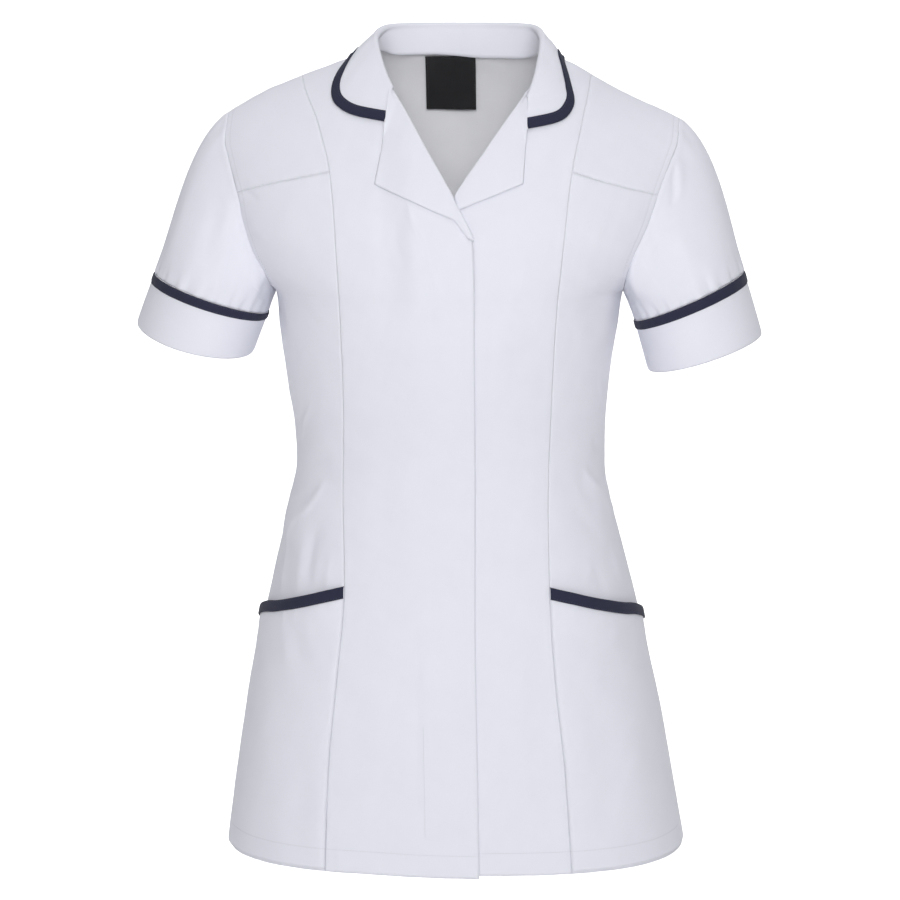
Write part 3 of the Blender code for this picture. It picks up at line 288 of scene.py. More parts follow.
# Creases of the torso, seen from the front with x to the right: a path with a sideways bow,
# half width across, height (below 0 for a trough) and lean (to one side where it is sharper).
# The first of each side are the large folds that the solids have too.
# Columns: x1 z1 x2 z2 bow reach height lean
CREASES = {
    "front": [
        (-0.038, -0.118, -0.016, -0.225, 0, 0.011, 0.0012, 0),
        (-0.052, -0.125, -0.042, -0.215, 0, 0.012, -0.0007, 0),
        (-0.134, -0.3, -0.146, -0.36, 0, 0.014, -0.0022, 0),
        (-0.112, -0.372, -0.152, -0.425, 0, 0.016, 0.0026, 0),
        (-0.15, -0.425, -0.158, -0.48, 0, 0.014, -0.0024, 0),
        (0.118, -0.368, 0.15, -0.41, 0, 0.014, 0.0024, 0),
        (0.14, -0.335, 0.136, -0.375, 0, 0.014, -0.0022, 0),
        (-0.036, -0.121, -0.021, -0.156, 0.002, 0.0026, 0.0011, 0.6),
        (-0.022, -0.15, -0.008, -0.2, 0.002, 0.003, 0.001, 0.6),
        (-0.011, -0.186, -0.007, -0.238, -0.001, 0.0034, 0.0008, 0.5),
        (-0.046, -0.128, -0.034, -0.186, 0.003, 0.006, -0.0007, -0.3),
        (-0.062, -0.12, -0.066, -0.18, 0.003, 0.008, 0.0007, 0.2),
        (-0.121, -0.3, -0.137, -0.339, 0.003, 0.0026, 0.0013, 0.5),
        (-0.127, -0.298, -0.141, -0.33, 0.002, 0.0045, -0.0011, -0.2),
        (-0.11, -0.368, -0.139, -0.409, -0.003, 0.0028, 0.0015, 0.6),
        (-0.117, -0.366, -0.141, -0.398, -0.002, 0.005, -0.0012, 0.2),
        (-0.136, -0.402, -0.15, -0.438, 0.002, 0.0026, 0.0014, 0.5),
        (-0.147, -0.428, -0.154, -0.476, 0.002, 0.0028, 0.0012, -0.4),
        (-0.116, -0.402, -0.125, -0.468, 0.004, 0.006, -0.002, 0.3),
        (-0.127, -0.416, -0.134, -0.47, 0.003, 0.005, 0.0012, 0.3),
        (-0.104, -0.43, -0.108, -0.466, 0.001, 0.004, 0.0009, 0),
        (-0.104, -0.345, -0.126, -0.358, 0.002, 0.004, -0.0009, 0.2),
        (-0.128, -0.378, -0.146, -0.386, 0.001, 0.0032, -0.001, 0),
        (0.118, -0.356, 0.137, -0.388, 0.002, 0.003, 0.0014, -0.5),
        (0.113, -0.362, 0.131, -0.396, 0.002, 0.0045, -0.0011, 0.2),
        (0.135, -0.385, 0.148, -0.409, 0.002, 0.0026, 0.0012, -0.4),
        (0.131, -0.276, 0.138, -0.303, 0.001, 0.0026, 0.001, -0.3),
        (0.126, -0.33, 0.14, -0.352, 0.002, 0.0034, -0.0011, 0.3),
        (0.108, -0.395, 0.133, -0.424, -0.003, 0.005, -0.0011, 0.2),
        (0.143, -0.426, 0.156, -0.466, 0.002, 0.0032, 0.0011, -0.2),
        (0.119, -0.456, 0.126, -0.444, 0, 0.0028, 0.0008, 0),
        (0.128, -0.44, 0.14, -0.472, 0.001, 0.0045, -0.001, 0),
        (-0.019, -0.44, -0.02, -0.69, 0.001, 0.0026, 0.0006, -0.5),
        (-0.029, -0.45, -0.027, -0.68, -0.001, 0.005, -0.0005, 0.2),
        (-0.022, -0.24, -0.022, -0.44, 0.001, 0.004, 0.0003, -0.4),
        (0.048, -0.2, 0.04, -0.3, 0.004, 0.016, 0.0008, 0),
        (0.05, -0.42, 0.064, -0.66, 0.004, 0.016, 0.0013, 0.2),
        (0.084, -0.47, 0.092, -0.69, 0.003, 0.012, -0.001, 0.2),
        (-0.058, -0.43, -0.07, -0.69, -0.004, 0.016, 0.0012, -0.2),
        (0.01, -0.5, 0.014, -0.7, 0.002, 0.013, -0.0008, 0),
        (-0.157, -0.198, -0.146, -0.236, 0.002, 0.005, -0.002, 0.3),
        (-0.15, -0.208, -0.126, -0.266, 0.004, 0.007, 0.0013, -0.3),
        (-0.138, -0.2, -0.11, -0.232, 0.003, 0.006, -0.0009, 0.2),
        (0.151, -0.19, 0.142, -0.232, -0.002, 0.005, -0.0018, -0.3),
        (0.146, -0.206, 0.122, -0.26, -0.004, 0.007, 0.0012, 0.3),
        (0.134, -0.198, 0.11, -0.226, -0.003, 0.006, -0.0008, 0.2),
        (-0.187, -0.108, -0.168, -0.124, 0.001, 0.0036, -0.001, 0.3),
        (-0.18, -0.128, -0.16, -0.16, 0.003, 0.006, 0.0008, 0),
        (0.172, -0.14, 0.152, -0.166, -0.002, 0.006, 0.0007, 0),
        (-0.096, -0.684, -0.094, -0.704, 0, 0.003, 0.0009, 0.4),
        (0.012, -0.13, 0.032, -0.166, 0.003, 0.005, 0.0008, 0.2),
        (0.006, -0.131, 0.02, -0.158, 0.002, 0.0028, -0.0008, 0.2),
    ],
    "back": [
        (-0.06, -0.33, -0.02, -0.385, 0, 0.018, 0.0026, 0),
        (0.055, -0.345, 0.015, -0.4, 0, 0.016, 0.0022, 0),
        (-0.12, -0.35, -0.145, -0.4, 0, 0.016, -0.0022, 0),
        (0.118, -0.34, 0.146, -0.395, 0, 0.016, -0.0024, 0),
        (-0.07, -0.318, -0.016, -0.352, 0.006, 0.005, 0.0017, 0.4),
        (-0.082, -0.342, -0.024, -0.388, 0.006, 0.0055, -0.0014, -0.3),
        (0.066, -0.33, 0.018, -0.362, -0.005, 0.0048, 0.0015, -0.4),
        (0.078, -0.356, 0.026, -0.398, -0.005, 0.006, -0.0014, 0.3),
        (-0.01, -0.372, 0.034, -0.38, 0.003, 0.0045, 0.0011, 0.3),
        (-0.046, -0.3, -0.004, -0.318, 0.004, 0.005, -0.001, 0.3),
        (-0.104, -0.36, -0.14, -0.4, -0.003, 0.004, 0.0015, 0.4),
        (0.108, -0.356, 0.142, -0.398, 0.003, 0.004, 0.0014, -0.4),
        (-0.116, -0.3, -0.14, -0.33, 0.002, 0.004, -0.0012, 0.2),
        (0.112, -0.296, 0.138, -0.322, 0.002, 0.004, 0.0011, 0.2),
        (-0.06, -0.42, -0.078, -0.69, 0.004, 0.017, 0.0018, 0.2),
        (0.058, -0.43, 0.08, -0.68, -0.004, 0.018, 0.0016, -0.2),
        (0, -0.45, 0.004, -0.7, 0.003, 0.015, -0.0013, 0),
        (-0.15, -0.205, -0.118, -0.262, 0.005, 0.007, 0.0015, -0.3),
        (0.146, -0.206, 0.112, -0.258, -0.005, 0.007, 0.0013, 0.3),
        (-0.13, -0.09, -0.12, -0.19, 0.006, 0.01, 0.0012, 0.2),
        (0.128, -0.086, 0.116, -0.186, -0.006, 0.01, 0.0011, -0.2),
        (-0.02, -0.02, 0.03, -0.024, 0.004, 0.006, -0.0007, 0),
    ],
}

POCKET_CREASES = {          # the same columns
    "right": [
        (-0.15, -0.492, -0.138, -0.54, 0.002, 0.006, 0.001, 0.3),
        (-0.14, -0.49, -0.124, -0.53, 0.002, 0.0055, -0.0009, 0.2),
        (-0.128, -0.48, -0.116, -0.52, 0.001, 0.005, 0.0008, 0),
        (-0.16, -0.52, -0.164, -0.64, 0.003, 0.011, 0.0012, 0),
        (-0.128, -0.56, -0.138, -0.69, -0.003, 0.013, -0.001, 0),
        (-0.11, -0.64, -0.118, -0.704, 0.001, 0.008, 0.0008, 0),
    ],
    "left": [
        (0.15, -0.493, 0.146, -0.52, 0.001, 0.005, 0.0009, 0.2),
        (0.162, -0.494, 0.16, -0.524, 0.001, 0.005, -0.0008, 0.2),
        (0.103, -0.624, 0.124, -0.636, 0.002, 0.005, -0.0011, 0.3),
        (0.101, -0.616, 0.122, -0.627, 0.002, 0.0055, 0.001, 0),
        (0.164, -0.56, 0.172, -0.68, 0.003, 0.012, 0.0012, 0),
        (0.128, -0.54, 0.14, -0.69, -0.003, 0.013, -0.0009, 0),
    ],
}

# Creases of a sleeve: from one place to another, as turns round the arm (0 at its top, 90 in
# front, 180 under it, 270 behind) and shares of its length
# Columns: turn1 share1 turn2 share2 reach height
SLEEVE_CREASES = {
    "right": [
        (62, 0.2, 74, 0.72, 0.009, -0.0016),
        (86, 0.3, 98, 0.88, 0.008, 0.0014),
        (28, 0.4, 34, 0.92, 0.01, 0.001),
        (118, 0.02, 132, 0.46, 0.007, 0.0016),
        (140, 0.04, 146, 0.6, 0.008, -0.0014),
        (250, 0.2, 238, 0.8, 0.009, 0.0014),
        (286, 0.3, 292, 0.84, 0.009, -0.0012),
        (212, 0.05, 206, 0.55, 0.008, 0.0014),
    ],
    "left": [
        (40, 0.04, 62, 0.22, 0.005, -0.0016),
        (34, 0.05, 54, 0.26, 0.006, 0.0012),
        (70, 0.28, 80, 0.8, 0.009, 0.0012),
        (96, 0.25, 106, 0.86, 0.008, -0.0012),
        (122, 0.03, 134, 0.5, 0.007, 0.0018),
        (144, 0.05, 150, 0.56, 0.008, -0.0014),
        (246, 0.24, 236, 0.82, 0.009, 0.0013),
        (284, 0.22, 296, 0.78, 0.01, -0.0012),
        (214, 0.05, 205, 0.6, 0.008, 0.0014),
    ],
}

# Small puckers where the sleeve is gathered into its cuff: turn, depth and height of each
PUCKERS = [
    (22, 0.0008, 0.007), (41, 0.0010, 0.010), (57, 0.0007, 0.006), (70, 0.0011, 0.012),
    (88, 0.0009, 0.008), (101, 0.0011, 0.006), (116, 0.0008, 0.011), (127, 0.0011, 0.007),
    (149, 0.0007, 0.009), (178, 0.0008, 0.008), (205, 0.0010, 0.010), (231, 0.0008, 0.007),
    (252, 0.0011, 0.011), (270, 0.0008, 0.007), (292, 0.0010, 0.009), (318, 0.0007, 0.008),
    (340, 0.0009, 0.007),
]


def smooth(positions, values, at):
    """Values between the rows of a table, on a curve that never overshoots them."""
    x, y = np.asarray(positions, float), np.asarray(values, float)
    if x[0] > x[-1]:
        x, y = x[::-1], y[::-1]
    step = np.diff(x)
    slope = np.diff(y) / step
    left, right = slope[:-1], slope[1:]
    same_way = left * right > 0
    w1 = 2 * step[1:] + step[:-1]
    w2 = step[1:] + 2 * step[:-1]
    safe_left = np.where(same_way, left, 1.0)
    safe_right = np.where(same_way, right, 1.0)
    inner = np.where(same_way, (w1 + w2) / (w1 / safe_left + w2 / safe_right), 0.0)
    tangent = np.concatenate([[slope[0]], inner, [slope[-1]]])
    at = np.clip(np.asarray(at, float), x[0], x[-1])
    i = np.clip(np.searchsorted(x, at) - 1, 0, len(x) - 2)
    t = (at - x[i]) / step[i]
    return (y[i] * (1 + 2 * t) * (1 - t) ** 2 + tangent[i] * step[i] * t * (1 - t) ** 2
            + y[i + 1] * t * t * (3 - 2 * t) + tangent[i + 1] * step[i] * t * t * (t - 1))


def ease(t):
    t = np.clip(t, 0.0, 1.0)
    return t * t * (3 - 2 * t)


def swell(distance, reach):
    """1 at no distance, and fading out beyond the reach."""
    return np.exp(-(distance / reach) ** 2)


def unit(vectors):
    return vectors / np.maximum(np.linalg.norm(vectors, axis=-1, keepdims=True), 1e-12)


def mix(first, second, share):
    return first * (1 - share) + second * share


# The form of the body: a point for each angle round it, each level and each side
def ring_value(name, level):
    return smooth(RINGS["height"], RINGS[name], level)


def shoulder_height(x):
    right, left = [smooth(SHOULDERS["across"], SHOULDERS[who], np.abs(x)) for who in WAY]
    return np.where(np.asarray(x) < 0, right, left)


def cloth_point(theta, level, side):
    theta, level = np.broadcast_arrays(np.asarray(theta, float), np.asarray(level, float))
    way = -1.0 if side == "front" else 1.0
    rise, reach = ARCH[side]
    power = 2.0 / ring_value("squareness", level)
    sine = np.sin(theta)
    across = np.sign(sine) * np.abs(sine) ** power
    x = ring_value("centre", level) + ring_value("half_width", level) * across
    depth = ring_value(side, level) * np.clip(np.cos(theta), 0.0, 1.0) ** power
    turn = np.clip((level - UNDERARM) / RISE, 0.0, 1.0) * QUARTER
    lift = (shoulder_height(x) - UNDERARM) * np.sin(turn) ** (2.0 / rise)
    z = np.where(level < UNDERARM, level, UNDERARM + lift)
    y = SIDE_Y + way * depth * np.clip(np.cos(turn), 0.0, 1.0) ** (2.0 / reach)
    return np.stack([x, y, z], axis=-1)


def cloth_normal(theta, level, side):
    """Which way is out; along the shoulder seam it is square to the seam's own slope."""
    theta, level = np.broadcast_arrays(np.asarray(theta, float), np.asarray(level, float))
    turn, step, x_step = 0.004, 0.0008, 0.002
    below = np.minimum(level, TOP - 0.004)
    across = (cloth_point(np.minimum(theta + turn, QUARTER), below, side)
              - cloth_point(np.maximum(theta - turn, -QUARTER), below, side))
    upward = cloth_point(theta, below + step, side) - cloth_point(theta, below - step, side)
    normal = unit(np.cross(across, upward) * (1.0 if side == "front" else -1.0))
    x = cloth_point(theta, level, side)[..., 0]
    slope = (shoulder_height(x + x_step) - shoulder_height(x - x_step)) / (2 * x_step)
    ridge = unit(np.stack([-slope, np.zeros_like(slope), np.ones_like(slope)], axis=-1))
    return unit(mix(normal, ridge, ease((level - (TOP - 0.012)) / 0.011)[..., None]))


def level_at(x, z, side):
    part = (np.asarray(z, float) - UNDERARM) / (shoulder_height(x) - UNDERARM)
    turn = np.arcsin(np.clip(part, 0.0, 1.0) ** (ARCH[side][0] / 2.0))
    return np.where(np.asarray(z) < UNDERARM, z, UNDERARM + RISE * turn / QUARTER)


def theta_at(x, level):
    part = (np.asarray(x, float) - ring_value("centre", level)) / ring_value("half_width", level)
    power = ring_value("squareness", level) / 2.0
    return np.sign(part) * np.arcsin(np.clip(np.abs(part), 0.0, 1.0) ** power)


def line_theta(heights, places, levels, side="front"):
    """Angles, at some levels, of a line that is given by its heights and its places in x."""
    known, kept = np.unique(level_at(places, heights, side), return_index=True)
    return theta_at(smooth(known, places[kept], levels), levels)


def seam_theta(rows, who, levels, side="front"):
    return line_theta(rows["height"], WAY[who] * rows[who], levels, side)


def inner_theta(who, levels):
    return line_theta(INNER[who]["height"], INNER[who]["place"], levels)


def side_edge(levels, who, side):
    """Angles of the side seam and, above it, of the armhole."""
    armhole = seam_theta(ARMHOLES[side], who, levels, side)
    return np.where(levels <= UNDERARM + 1e-9, WAY[who] * QUARTER, armhole)


def level_behind(places):
    """Level of the back's neck seam at places across it."""
    behind = smooth(BACK_NECK["across"], BACK_NECK["behind"], np.abs(places - NECK_CENTRE))
    level = np.full(len(places), TOP)
    for _ in range(5):
        square = ring_value("squareness", level)
        part = np.abs(places - ring_value("centre", level)) / ring_value("half_width", level)
        depth = ring_value("back", level) * (1 - part ** square) ** (1 / square)
        turn = np.arccos((behind / depth) ** (ARCH["back"][1] / 2))
        level = UNDERARM + RISE * turn / QUARTER
    return level


# Relief of the cloth
def ridge_lift(x, z, x1, z1, x2, z2, bow, reach, height, lean):
    """Height of a soft ridge or trough along a bowed path."""
    run = np.array([x2 - x1, z2 - z1])
    length = np.linalg.norm(run)
    along = ((x - x1) * run[0] + (z - z1) * run[1]) / length ** 2
    across = ((x - x1) * run[1] - (z - z1) * run[0]) / length
    inside = np.clip(along, 0.0, 1.0)
    across = across - bow * np.sin(inside * math.pi)
    wide = reach * np.where(across > 0, 1 + 0.45 * lean, 1 - 0.45 * lean)
    return height * np.sin(inside * math.pi) ** 0.8 * swell(across, wide)


def torso_relief(x, z, side):
    """Large folds, listed creases and a fine unevenness of the worn cloth."""
    lift = sum(ridge_lift(x, z, *crease) for crease in CREASES[side])
    lift += 0.00022 * np.sin(x * 151 + 2.1 * np.sin(z * 37)) * np.sin(z * 88 + 1.7 * np.sin(x * 61))
    lift += 0.00012 * np.sin(x * 330 + z * 95 + 1.3) * np.sin(z * 240 - x * 120)
    return lift


def laid(theta, level, side, out):
    """Points and normals a distance out from the creased cloth, which is plain at its side seam."""
    points = cloth_point(theta, level, side)
    normals = cloth_normal(theta, level, side)
    from_seam = ease((QUARTER - np.abs(theta)) / 0.16)
    lift = torso_relief(points[..., 0], points[..., 2], side) * from_seam + out
    return points + normals * lift[..., None], normals


def arcs(grid, axis):
    """Distance run along a grid's rows or columns, from its start."""
    run = np.cumsum(np.linalg.norm(np.diff(grid, axis=axis), axis=2), axis=axis)
    return np.concatenate([np.zeros_like(np.take(run, [0], axis=axis)), run], axis=axis)


class Borders:
    """Distances of a grid's points from its four borders, and the runs along them."""

    def __init__(self, grid):
        self.across, self.along = arcs(grid, 1), arcs(grid, 0)
        self.start, self.end = self.across, self.across[:, -1:] - self.across
        self.bottom, self.top = self.along, self.along[-1:] - self.along


def seam_dip(distance, run, phase):
    """A sewn border sinks into its seam, with a low uneven pucker beside it."""
    groove_depth, groove_width = 0.00006, 0.0008
    welt_height, welt_place, welt_width = 0.00014, 0.0040, 0.0030
    pucker = 0.6 + 0.4 * np.sin(run * 720 + phase) * np.sin(run * 213 + 2 * phase)
    welt = welt_height * swell(distance - welt_place, welt_width) * pucker
    return welt - groove_depth * swell(distance, groove_width)


def seam_dips(borders, **phases):
    """The dips at the borders named, each with the phase of its pucker."""
    runs = {"start": borders.along, "end": borders.along, "top": borders.across, "bottom": borders.across}
    return sum(seam_dip(getattr(borders, name), runs[name], phase) for name, phase in phases.items())


def stitch_dip(offset, run, phase):
    """A line of stitches sinks in, with a low pucker on both sides."""
    furrow_depth, furrow_width = 0.00012, 0.0009
    pucker_height, pucker_place, pucker_width = 0.00008, 0.002, 0.0016
    pucker = 0.6 + 0.4 * np.sin(run * 900 + phase) * np.sin(run * 257 + phase)
    beside = pucker_height * pucker * swell(np.abs(offset) - pucker_place, pucker_width)
    return beside - furrow_depth * swell(offset, furrow_width)


def hem_relief(borders, phase):
    """The turned hem: its stitches sink in and the edge below them rolls a little."""
    wave_height, wave_reach = 0.0004, 0.05
    dip = stitch_dip(borders.bottom - HEM_DEPTH, borders.across, phase)
    wave = np.sin(borders.across * 95 + phase) * np.sin(borders.across * 41 + 2 * phase)
    return dip + wave_height * wave * ease(1 - borders.bottom / wave_reach)


def thick_to(distance, depth):
    """Wall that is thicker as far as a turned edge reaches in."""
    return WALL + (EDGE_WALL - WALL) * ease((depth - distance) / 0.0015)


def armhole_stitches(distance, run, levels, phase):
    """Relief of the stitches beside an armhole, and their line: offset and run."""
    above = ease((levels - (UNDERARM - 0.004)) / 0.004)
    offset = distance - ARMHOLE_STITCH
    return stitch_dip(offset, run, phase) * above, (np.where(above > 0.3, offset, NO_STITCH), run)


def nearest_line(*lines):
    """Of several stitched lines, each a distance and a run, the nearest at each point."""
    best, run = lines[0]
    for off, along in lines[1:]:
        closer = np.abs(off) < np.abs(best)
        best, run = np.where(closer, off, best), np.where(closer, along, run)
    return best, run


# Materials
class Nodes:
    """One material and the nodes made for it."""

    def __init__(self, name):
        self.material = bpy.data.materials.new(name)
        self.material.use_nodes = True
        self.tree = self.material.node_tree
        self.shader = self.tree.nodes["Principled BSDF"]

    def fill(self, node, inputs):
        """Sets each named socket, or links it where a node's output is given."""
        for name, value in inputs.items():
            if isinstance(value, bpy.types.NodeSocket):
                self.tree.links.new(value, node.inputs[name])
            else:
                node.inputs[name].default_value = value

    def add(self, kind, inputs=None, **settings):
        node = self.tree.nodes.new("ShaderNode" + kind)
        for name, value in settings.items():
            setattr(node, name, value)
        self.fill(node, inputs or {})
        return node.outputs

    def maths(self, operation, *values, clamp=False):
        return self.add("Math", dict(enumerate(values)), operation=operation, use_clamp=clamp)[0]

    def mixed(self, first, second, share):
        return self.add("Mix", {"A": first, "B": second, "Factor": share}, data_type="RGBA")["Result"]


def cloth_material(name, base, inside, dark, thread, roughness, sheen, weave, weave_depth, mottling):
    """Woven cloth whose inside face can take another colour (on the white cloth a lighter one, which is
    painted light), and stitches of thread where the stitch map says.
    """
    n = Nodes(name)
    n.material.diffuse_color = base
    cloth = n.add("UVMap", uv_map="Cloth")[0]
    place = n.add("SeparateXYZ", {0: cloth})
    warp, weft = [n.maths("SINE", n.maths("MULTIPLY", place[k], 2 * math.pi / weave)) for k in (0, 1)]
    over = n.maths("MULTIPLY", warp, weft)
    stretched = n.add("Mapping", {0: cloth, "Scale": (1.0, 0.18, 1.0)})[0]
    slub = n.add("TexNoise", {"Vector": stretched, "Scale": 900.0, "Detail": 3.0})[0]
    height = n.maths("ADD", n.maths("MULTIPLY", over, 0.5), n.maths("MULTIPLY", slub, 1.2))

    # Stitches are short dashes of thread, with a hole between one and the next; the hole is sunk in the bump
    # and painted dark as shade
    line = n.add("SeparateXYZ", {0: n.add("UVMap", uv_map="Stitch")[0]})
    on_inside = n.maths("GREATER_THAN", line[0], INSIDE_MARK / 2)
    offset = n.maths("ABSOLUTE", n.maths("SUBTRACT", line[0], n.maths("MULTIPLY", on_inside, INSIDE_MARK)))
    near = n.maths("LESS_THAN", offset, THREAD_HALF)
    dash = n.maths("LESS_THAN", n.maths("FRACT", n.maths("DIVIDE", line[1], STITCH_LENGTH)), 0.74)
    sewn = n.maths("MULTIPLY", near, dash)
    hole = n.maths("MULTIPLY", near, n.maths("SUBTRACT", 1.0, dash))
    # Painted shade: within 1.6 mm of a line of stitches the cloth is coloured darker, as in the shadow of
    # its furrow
    furrow_painted_shade = n.maths("SUBTRACT", 1.0, n.maths("DIVIDE", offset, 0.0016), clamp=True)

    mottle = n.add("TexNoise", {"Vector": cloth, "Scale": 34.0, "Detail": 4.0})[0]
    mottled = n.maths("MULTIPLY", n.maths("SUBTRACT", mottle, 0.35, clamp=True), mottling)
    yarn = n.maths("MULTIPLY", n.maths("ADD", n.maths("MULTIPLY", over, 0.5), 0.5), 0.10)
    # A weave tone that follows the threads' over and under, plus the painted shade of the furrows
    weave_tone_and_furrow_shade = n.maths("ADD", yarn, n.maths("MULTIPLY", furrow_painted_shade, 0.10))
    # The inside face takes the inside colour; on the white cloth that lighter colour is painted light
    colour = n.mixed(base, inside, on_inside)
    # Painted shade: the holes between stitches take a darker copy of the dark colour
    hole_painted_shade = tuple(0.55 * value for value in dark[:3]) + (1.0,)
    for other, share in ((dark, mottled), (dark, weave_tone_and_furrow_shade), (thread, sewn), (hole_painted_shade, hole)):
        colour = n.mixed(colour, other, share)

    raised = n.maths("ADD", height, n.maths("MULTIPLY", sewn, 1.4))
    raised = n.maths("SUBTRACT", raised, n.maths("MULTIPLY", hole, 1.0))
    bump = n.add("Bump", {"Strength": 0.55, "Distance": weave_depth, "Height": raised})[0]
    n.fill(n.shader, {"Base Color": colour, "Normal": bump, "Roughness": roughness,
                      "Sheen Weight": sheen, "Sheen Roughness": 0.6, "Specular IOR Level": 0.25})
    return n.material


SLOTS = {
    "cloth": ("white_cloth", cloth_material(
        # The white cloth's inside is lighter than its outside: painted light, so the shaded inside back
        # looks as bright as the front
        "white_poplin", base=(0.795, 0.80, 0.872, 1), inside=(0.935, 0.935, 0.955, 1),
        dark=(0.69, 0.70, 0.785, 1), thread=(0.83, 0.84, 0.91, 1), roughness=0.85, sheen=0.08,
        weave=0.00055, weave_depth=0.00006, mottling=0.35)),
    "trim": ("dark_binding", cloth_material(
        "navy_binding", base=(0.024, 0.026, 0.055, 1), inside=(0.024, 0.026, 0.055, 1),
        dark=(0.014, 0.016, 0.036, 1), thread=(0.04, 0.044, 0.08, 1), roughness=0.85, sheen=0.04,
        weave=0.00050, weave_depth=0.00008, mottling=0.6)),
    "label": ("label_cloth", cloth_material(
        "label_satin", base=(0.013, 0.013, 0.015, 1), inside=(0.013, 0.013, 0.015, 1),
        dark=(0.006, 0.006, 0.007, 1), thread=(0.03, 0.03, 0.03, 1), roughness=0.55, sheen=0.10,
        weave=0.00040, weave_depth=0.00005, mottling=0.4)),
}


# Pieces
def grid_normals(grid, closed=False):
    wide = np.concatenate([grid[:, -1:], grid, grid[:, :1]], axis=1)
    across = wide[:, 2:] - wide[:, :-2] if closed else np.gradient(grid, axis=1)
    return unit(np.cross(across, np.gradient(grid, axis=0)))


def add_mesh(name, corners, faces, maps, rim_faces, finish):
    """A mesh with its two maps; the rim's faces are flat, so that the edge stays sharp."""
    mesh = bpy.data.meshes.new(name)
    mesh.from_pydata(corners.tolist(), [], faces.tolist())
    for layer_name, values in (("Cloth", maps[..., :2]), ("Stitch", maps[..., 2:])):
        mesh.uv_layers.new(name=layer_name).data.foreach_set("uv", values.ravel())
    mesh.polygons.foreach_set("use_smooth", np.arange(len(faces)) < len(faces) - rim_faces)
    mesh.materials.append(finish)
    mesh.update()
    piece = bpy.data.objects.new(name, mesh)
    bpy.context.scene.collection.objects.link(piece)
    return piece


def shell(name, grid, wall, finish, outward, closed, stitch):
    """A thin closed sheet, whose outer face is the grid. Its maps hold the place in the cloth and,
    from stitch, the distance from the nearest line of stitches and the run along it."""
    rows, cols = grid.shape[:2]
    count = rows * cols
    normals = grid_normals(grid, closed)
    if outward is not None:
        normals = normals * np.sign(np.sum(normals * outward))
    thickness = np.broadcast_to(wall, (rows, cols))[..., None]
    corners = np.concatenate([grid.reshape(-1, 3), (grid - normals * thickness).reshape(-1, 3)])
    wrapped = np.concatenate([grid, grid[:, :1]], axis=1) if closed else grid
    spans = wrapped.shape[1] - 1
    u, v = arcs(wrapped, 1), arcs(wrapped, 0)
    u = u - u[:, (spans + 1) // 2][:, None]
    if stitch is None:
        stitch = np.full_like(u, NO_STITCH), np.zeros_like(u)
    stitch = [np.concatenate([part, part[:, :1]], axis=1) if part.shape[1] == spans else part
              for part in stitch]
    maps = np.stack([u, v, *stitch], axis=-1)

    r, c = [side.ravel() for side in np.meshgrid(np.arange(rows - 1), np.arange(spans), indexing="ij")]
    face_r, face_c = np.stack([r, r, r + 1, r + 1], axis=1), np.stack([c, c + 1, c + 1, c], axis=1)
    outer = face_r * cols + face_c % cols
    rim = [[(0, k + 1), (0, k)] for k in range(spans)]
    rim += [[(rows - 1, k), (rows - 1, k + 1)] for k in range(spans)]
    if not closed:
        rim += [[(k, 0), (k + 1, 0)] for k in range(rows - 1)]
        rim += [[(k + 1, spans), (k, spans)] for k in range(rows - 1)]
    rim_r, rim_c = np.moveaxis(np.array(rim), -1, 0)
    rim_ids = rim_r * cols + rim_c % cols
    face_maps, rim_maps = maps[face_r, face_c], maps[rim_r, rim_c]
    faces = np.concatenate([outer, outer[:, ::-1] + count,
                            np.concatenate([rim_ids, rim_ids[:, ::-1] + count], axis=1)])
    maps = np.concatenate([face_maps, face_maps[:, ::-1] + np.array([0, 0, INSIDE_MARK, 0]),
                           np.concatenate([rim_maps, rim_maps[:, ::-1]], axis=1)])
    a, b, d = corners[outer[0, :3]]
    if np.dot(np.cross(b - a, d - a), normals[0, 0]) < 0:
        faces, maps = faces[:, ::-1], maps[:, ::-1]
    piece = add_mesh(name, corners, faces, maps, len(rim), finish)

    step_u = np.linalg.norm(np.diff(wrapped, axis=1), axis=2)
    step_v = np.linalg.norm(np.diff(wrapped, axis=0), axis=2)
    area = np.sum((step_u[:-1] + step_u[1:]) / 2 * (step_v[:, :-1] + step_v[:, 1:]) / 2)
    return piece, float(step_u.sum(axis=1).max()), float(step_v.sum(axis=0).max()), float(area)


def sew(name, grid, wall, node=None, outward=None, closed=False, stitch=None):
    """Makes a piece, hangs it on the body's root and hides the solid it stands for; its flat width, length
    and area are worked out but not used.
    """
    kind, rest = name.split("_", 1)
    slot, finish = SLOTS[kind]
    piece, width, length, area = shell(name, grid, wall, finish, outward, closed, stitch)
    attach(piece, "root")
    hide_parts(node or rest)
    width, length = max(width, LEAST_SIZE), max(length, LEAST_SIZE)
    area = max(min(area, width * length), 0.31 * width * length)


# Torso
LOWER = np.linspace(HEM, UNDERARM, 170)
ARMPIT = np.linspace(UNDERARM, YOKE_LEVEL, 46)
YOKE = np.linspace(YOKE_LEVEL, TOP, 62)
ALL = np.concatenate([LOWER[:-1], ARMPIT[:-1], YOKE])
SIDE_FRONT = np.concatenate([LOWER[:-1], ARMPIT])
NECK_STEPS = np.concatenate([np.linspace(0.0, 0.062, 21)[:-1], np.linspace(0.062, 0.072, 9)])


def between(start, end, levels, count):
    """Angles spread from one edge to the other at each level, and the levels as a grid."""
    theta = mix(start[:, None], end[:, None], np.linspace(0.0, 1.0, count))
    return theta, levels[:, None] * np.ones(count)


def right_front_lift(theta, levels):
    """How far the right front lies out where it overlaps, and more under its lapel."""
    x = cloth_point(theta, levels, "front")[..., 0]
    across = ease((x - OVERLAP_OUT) / (OVERLAP_IN - OVERLAP_OUT))
    at_lapel = ease((levels - LAPEL_FOOT) / LAPEL_EASE)
    return across * (OVERLAP_LIFT + (LAPEL_LIFT - OVERLAP_LIFT) * at_lapel)


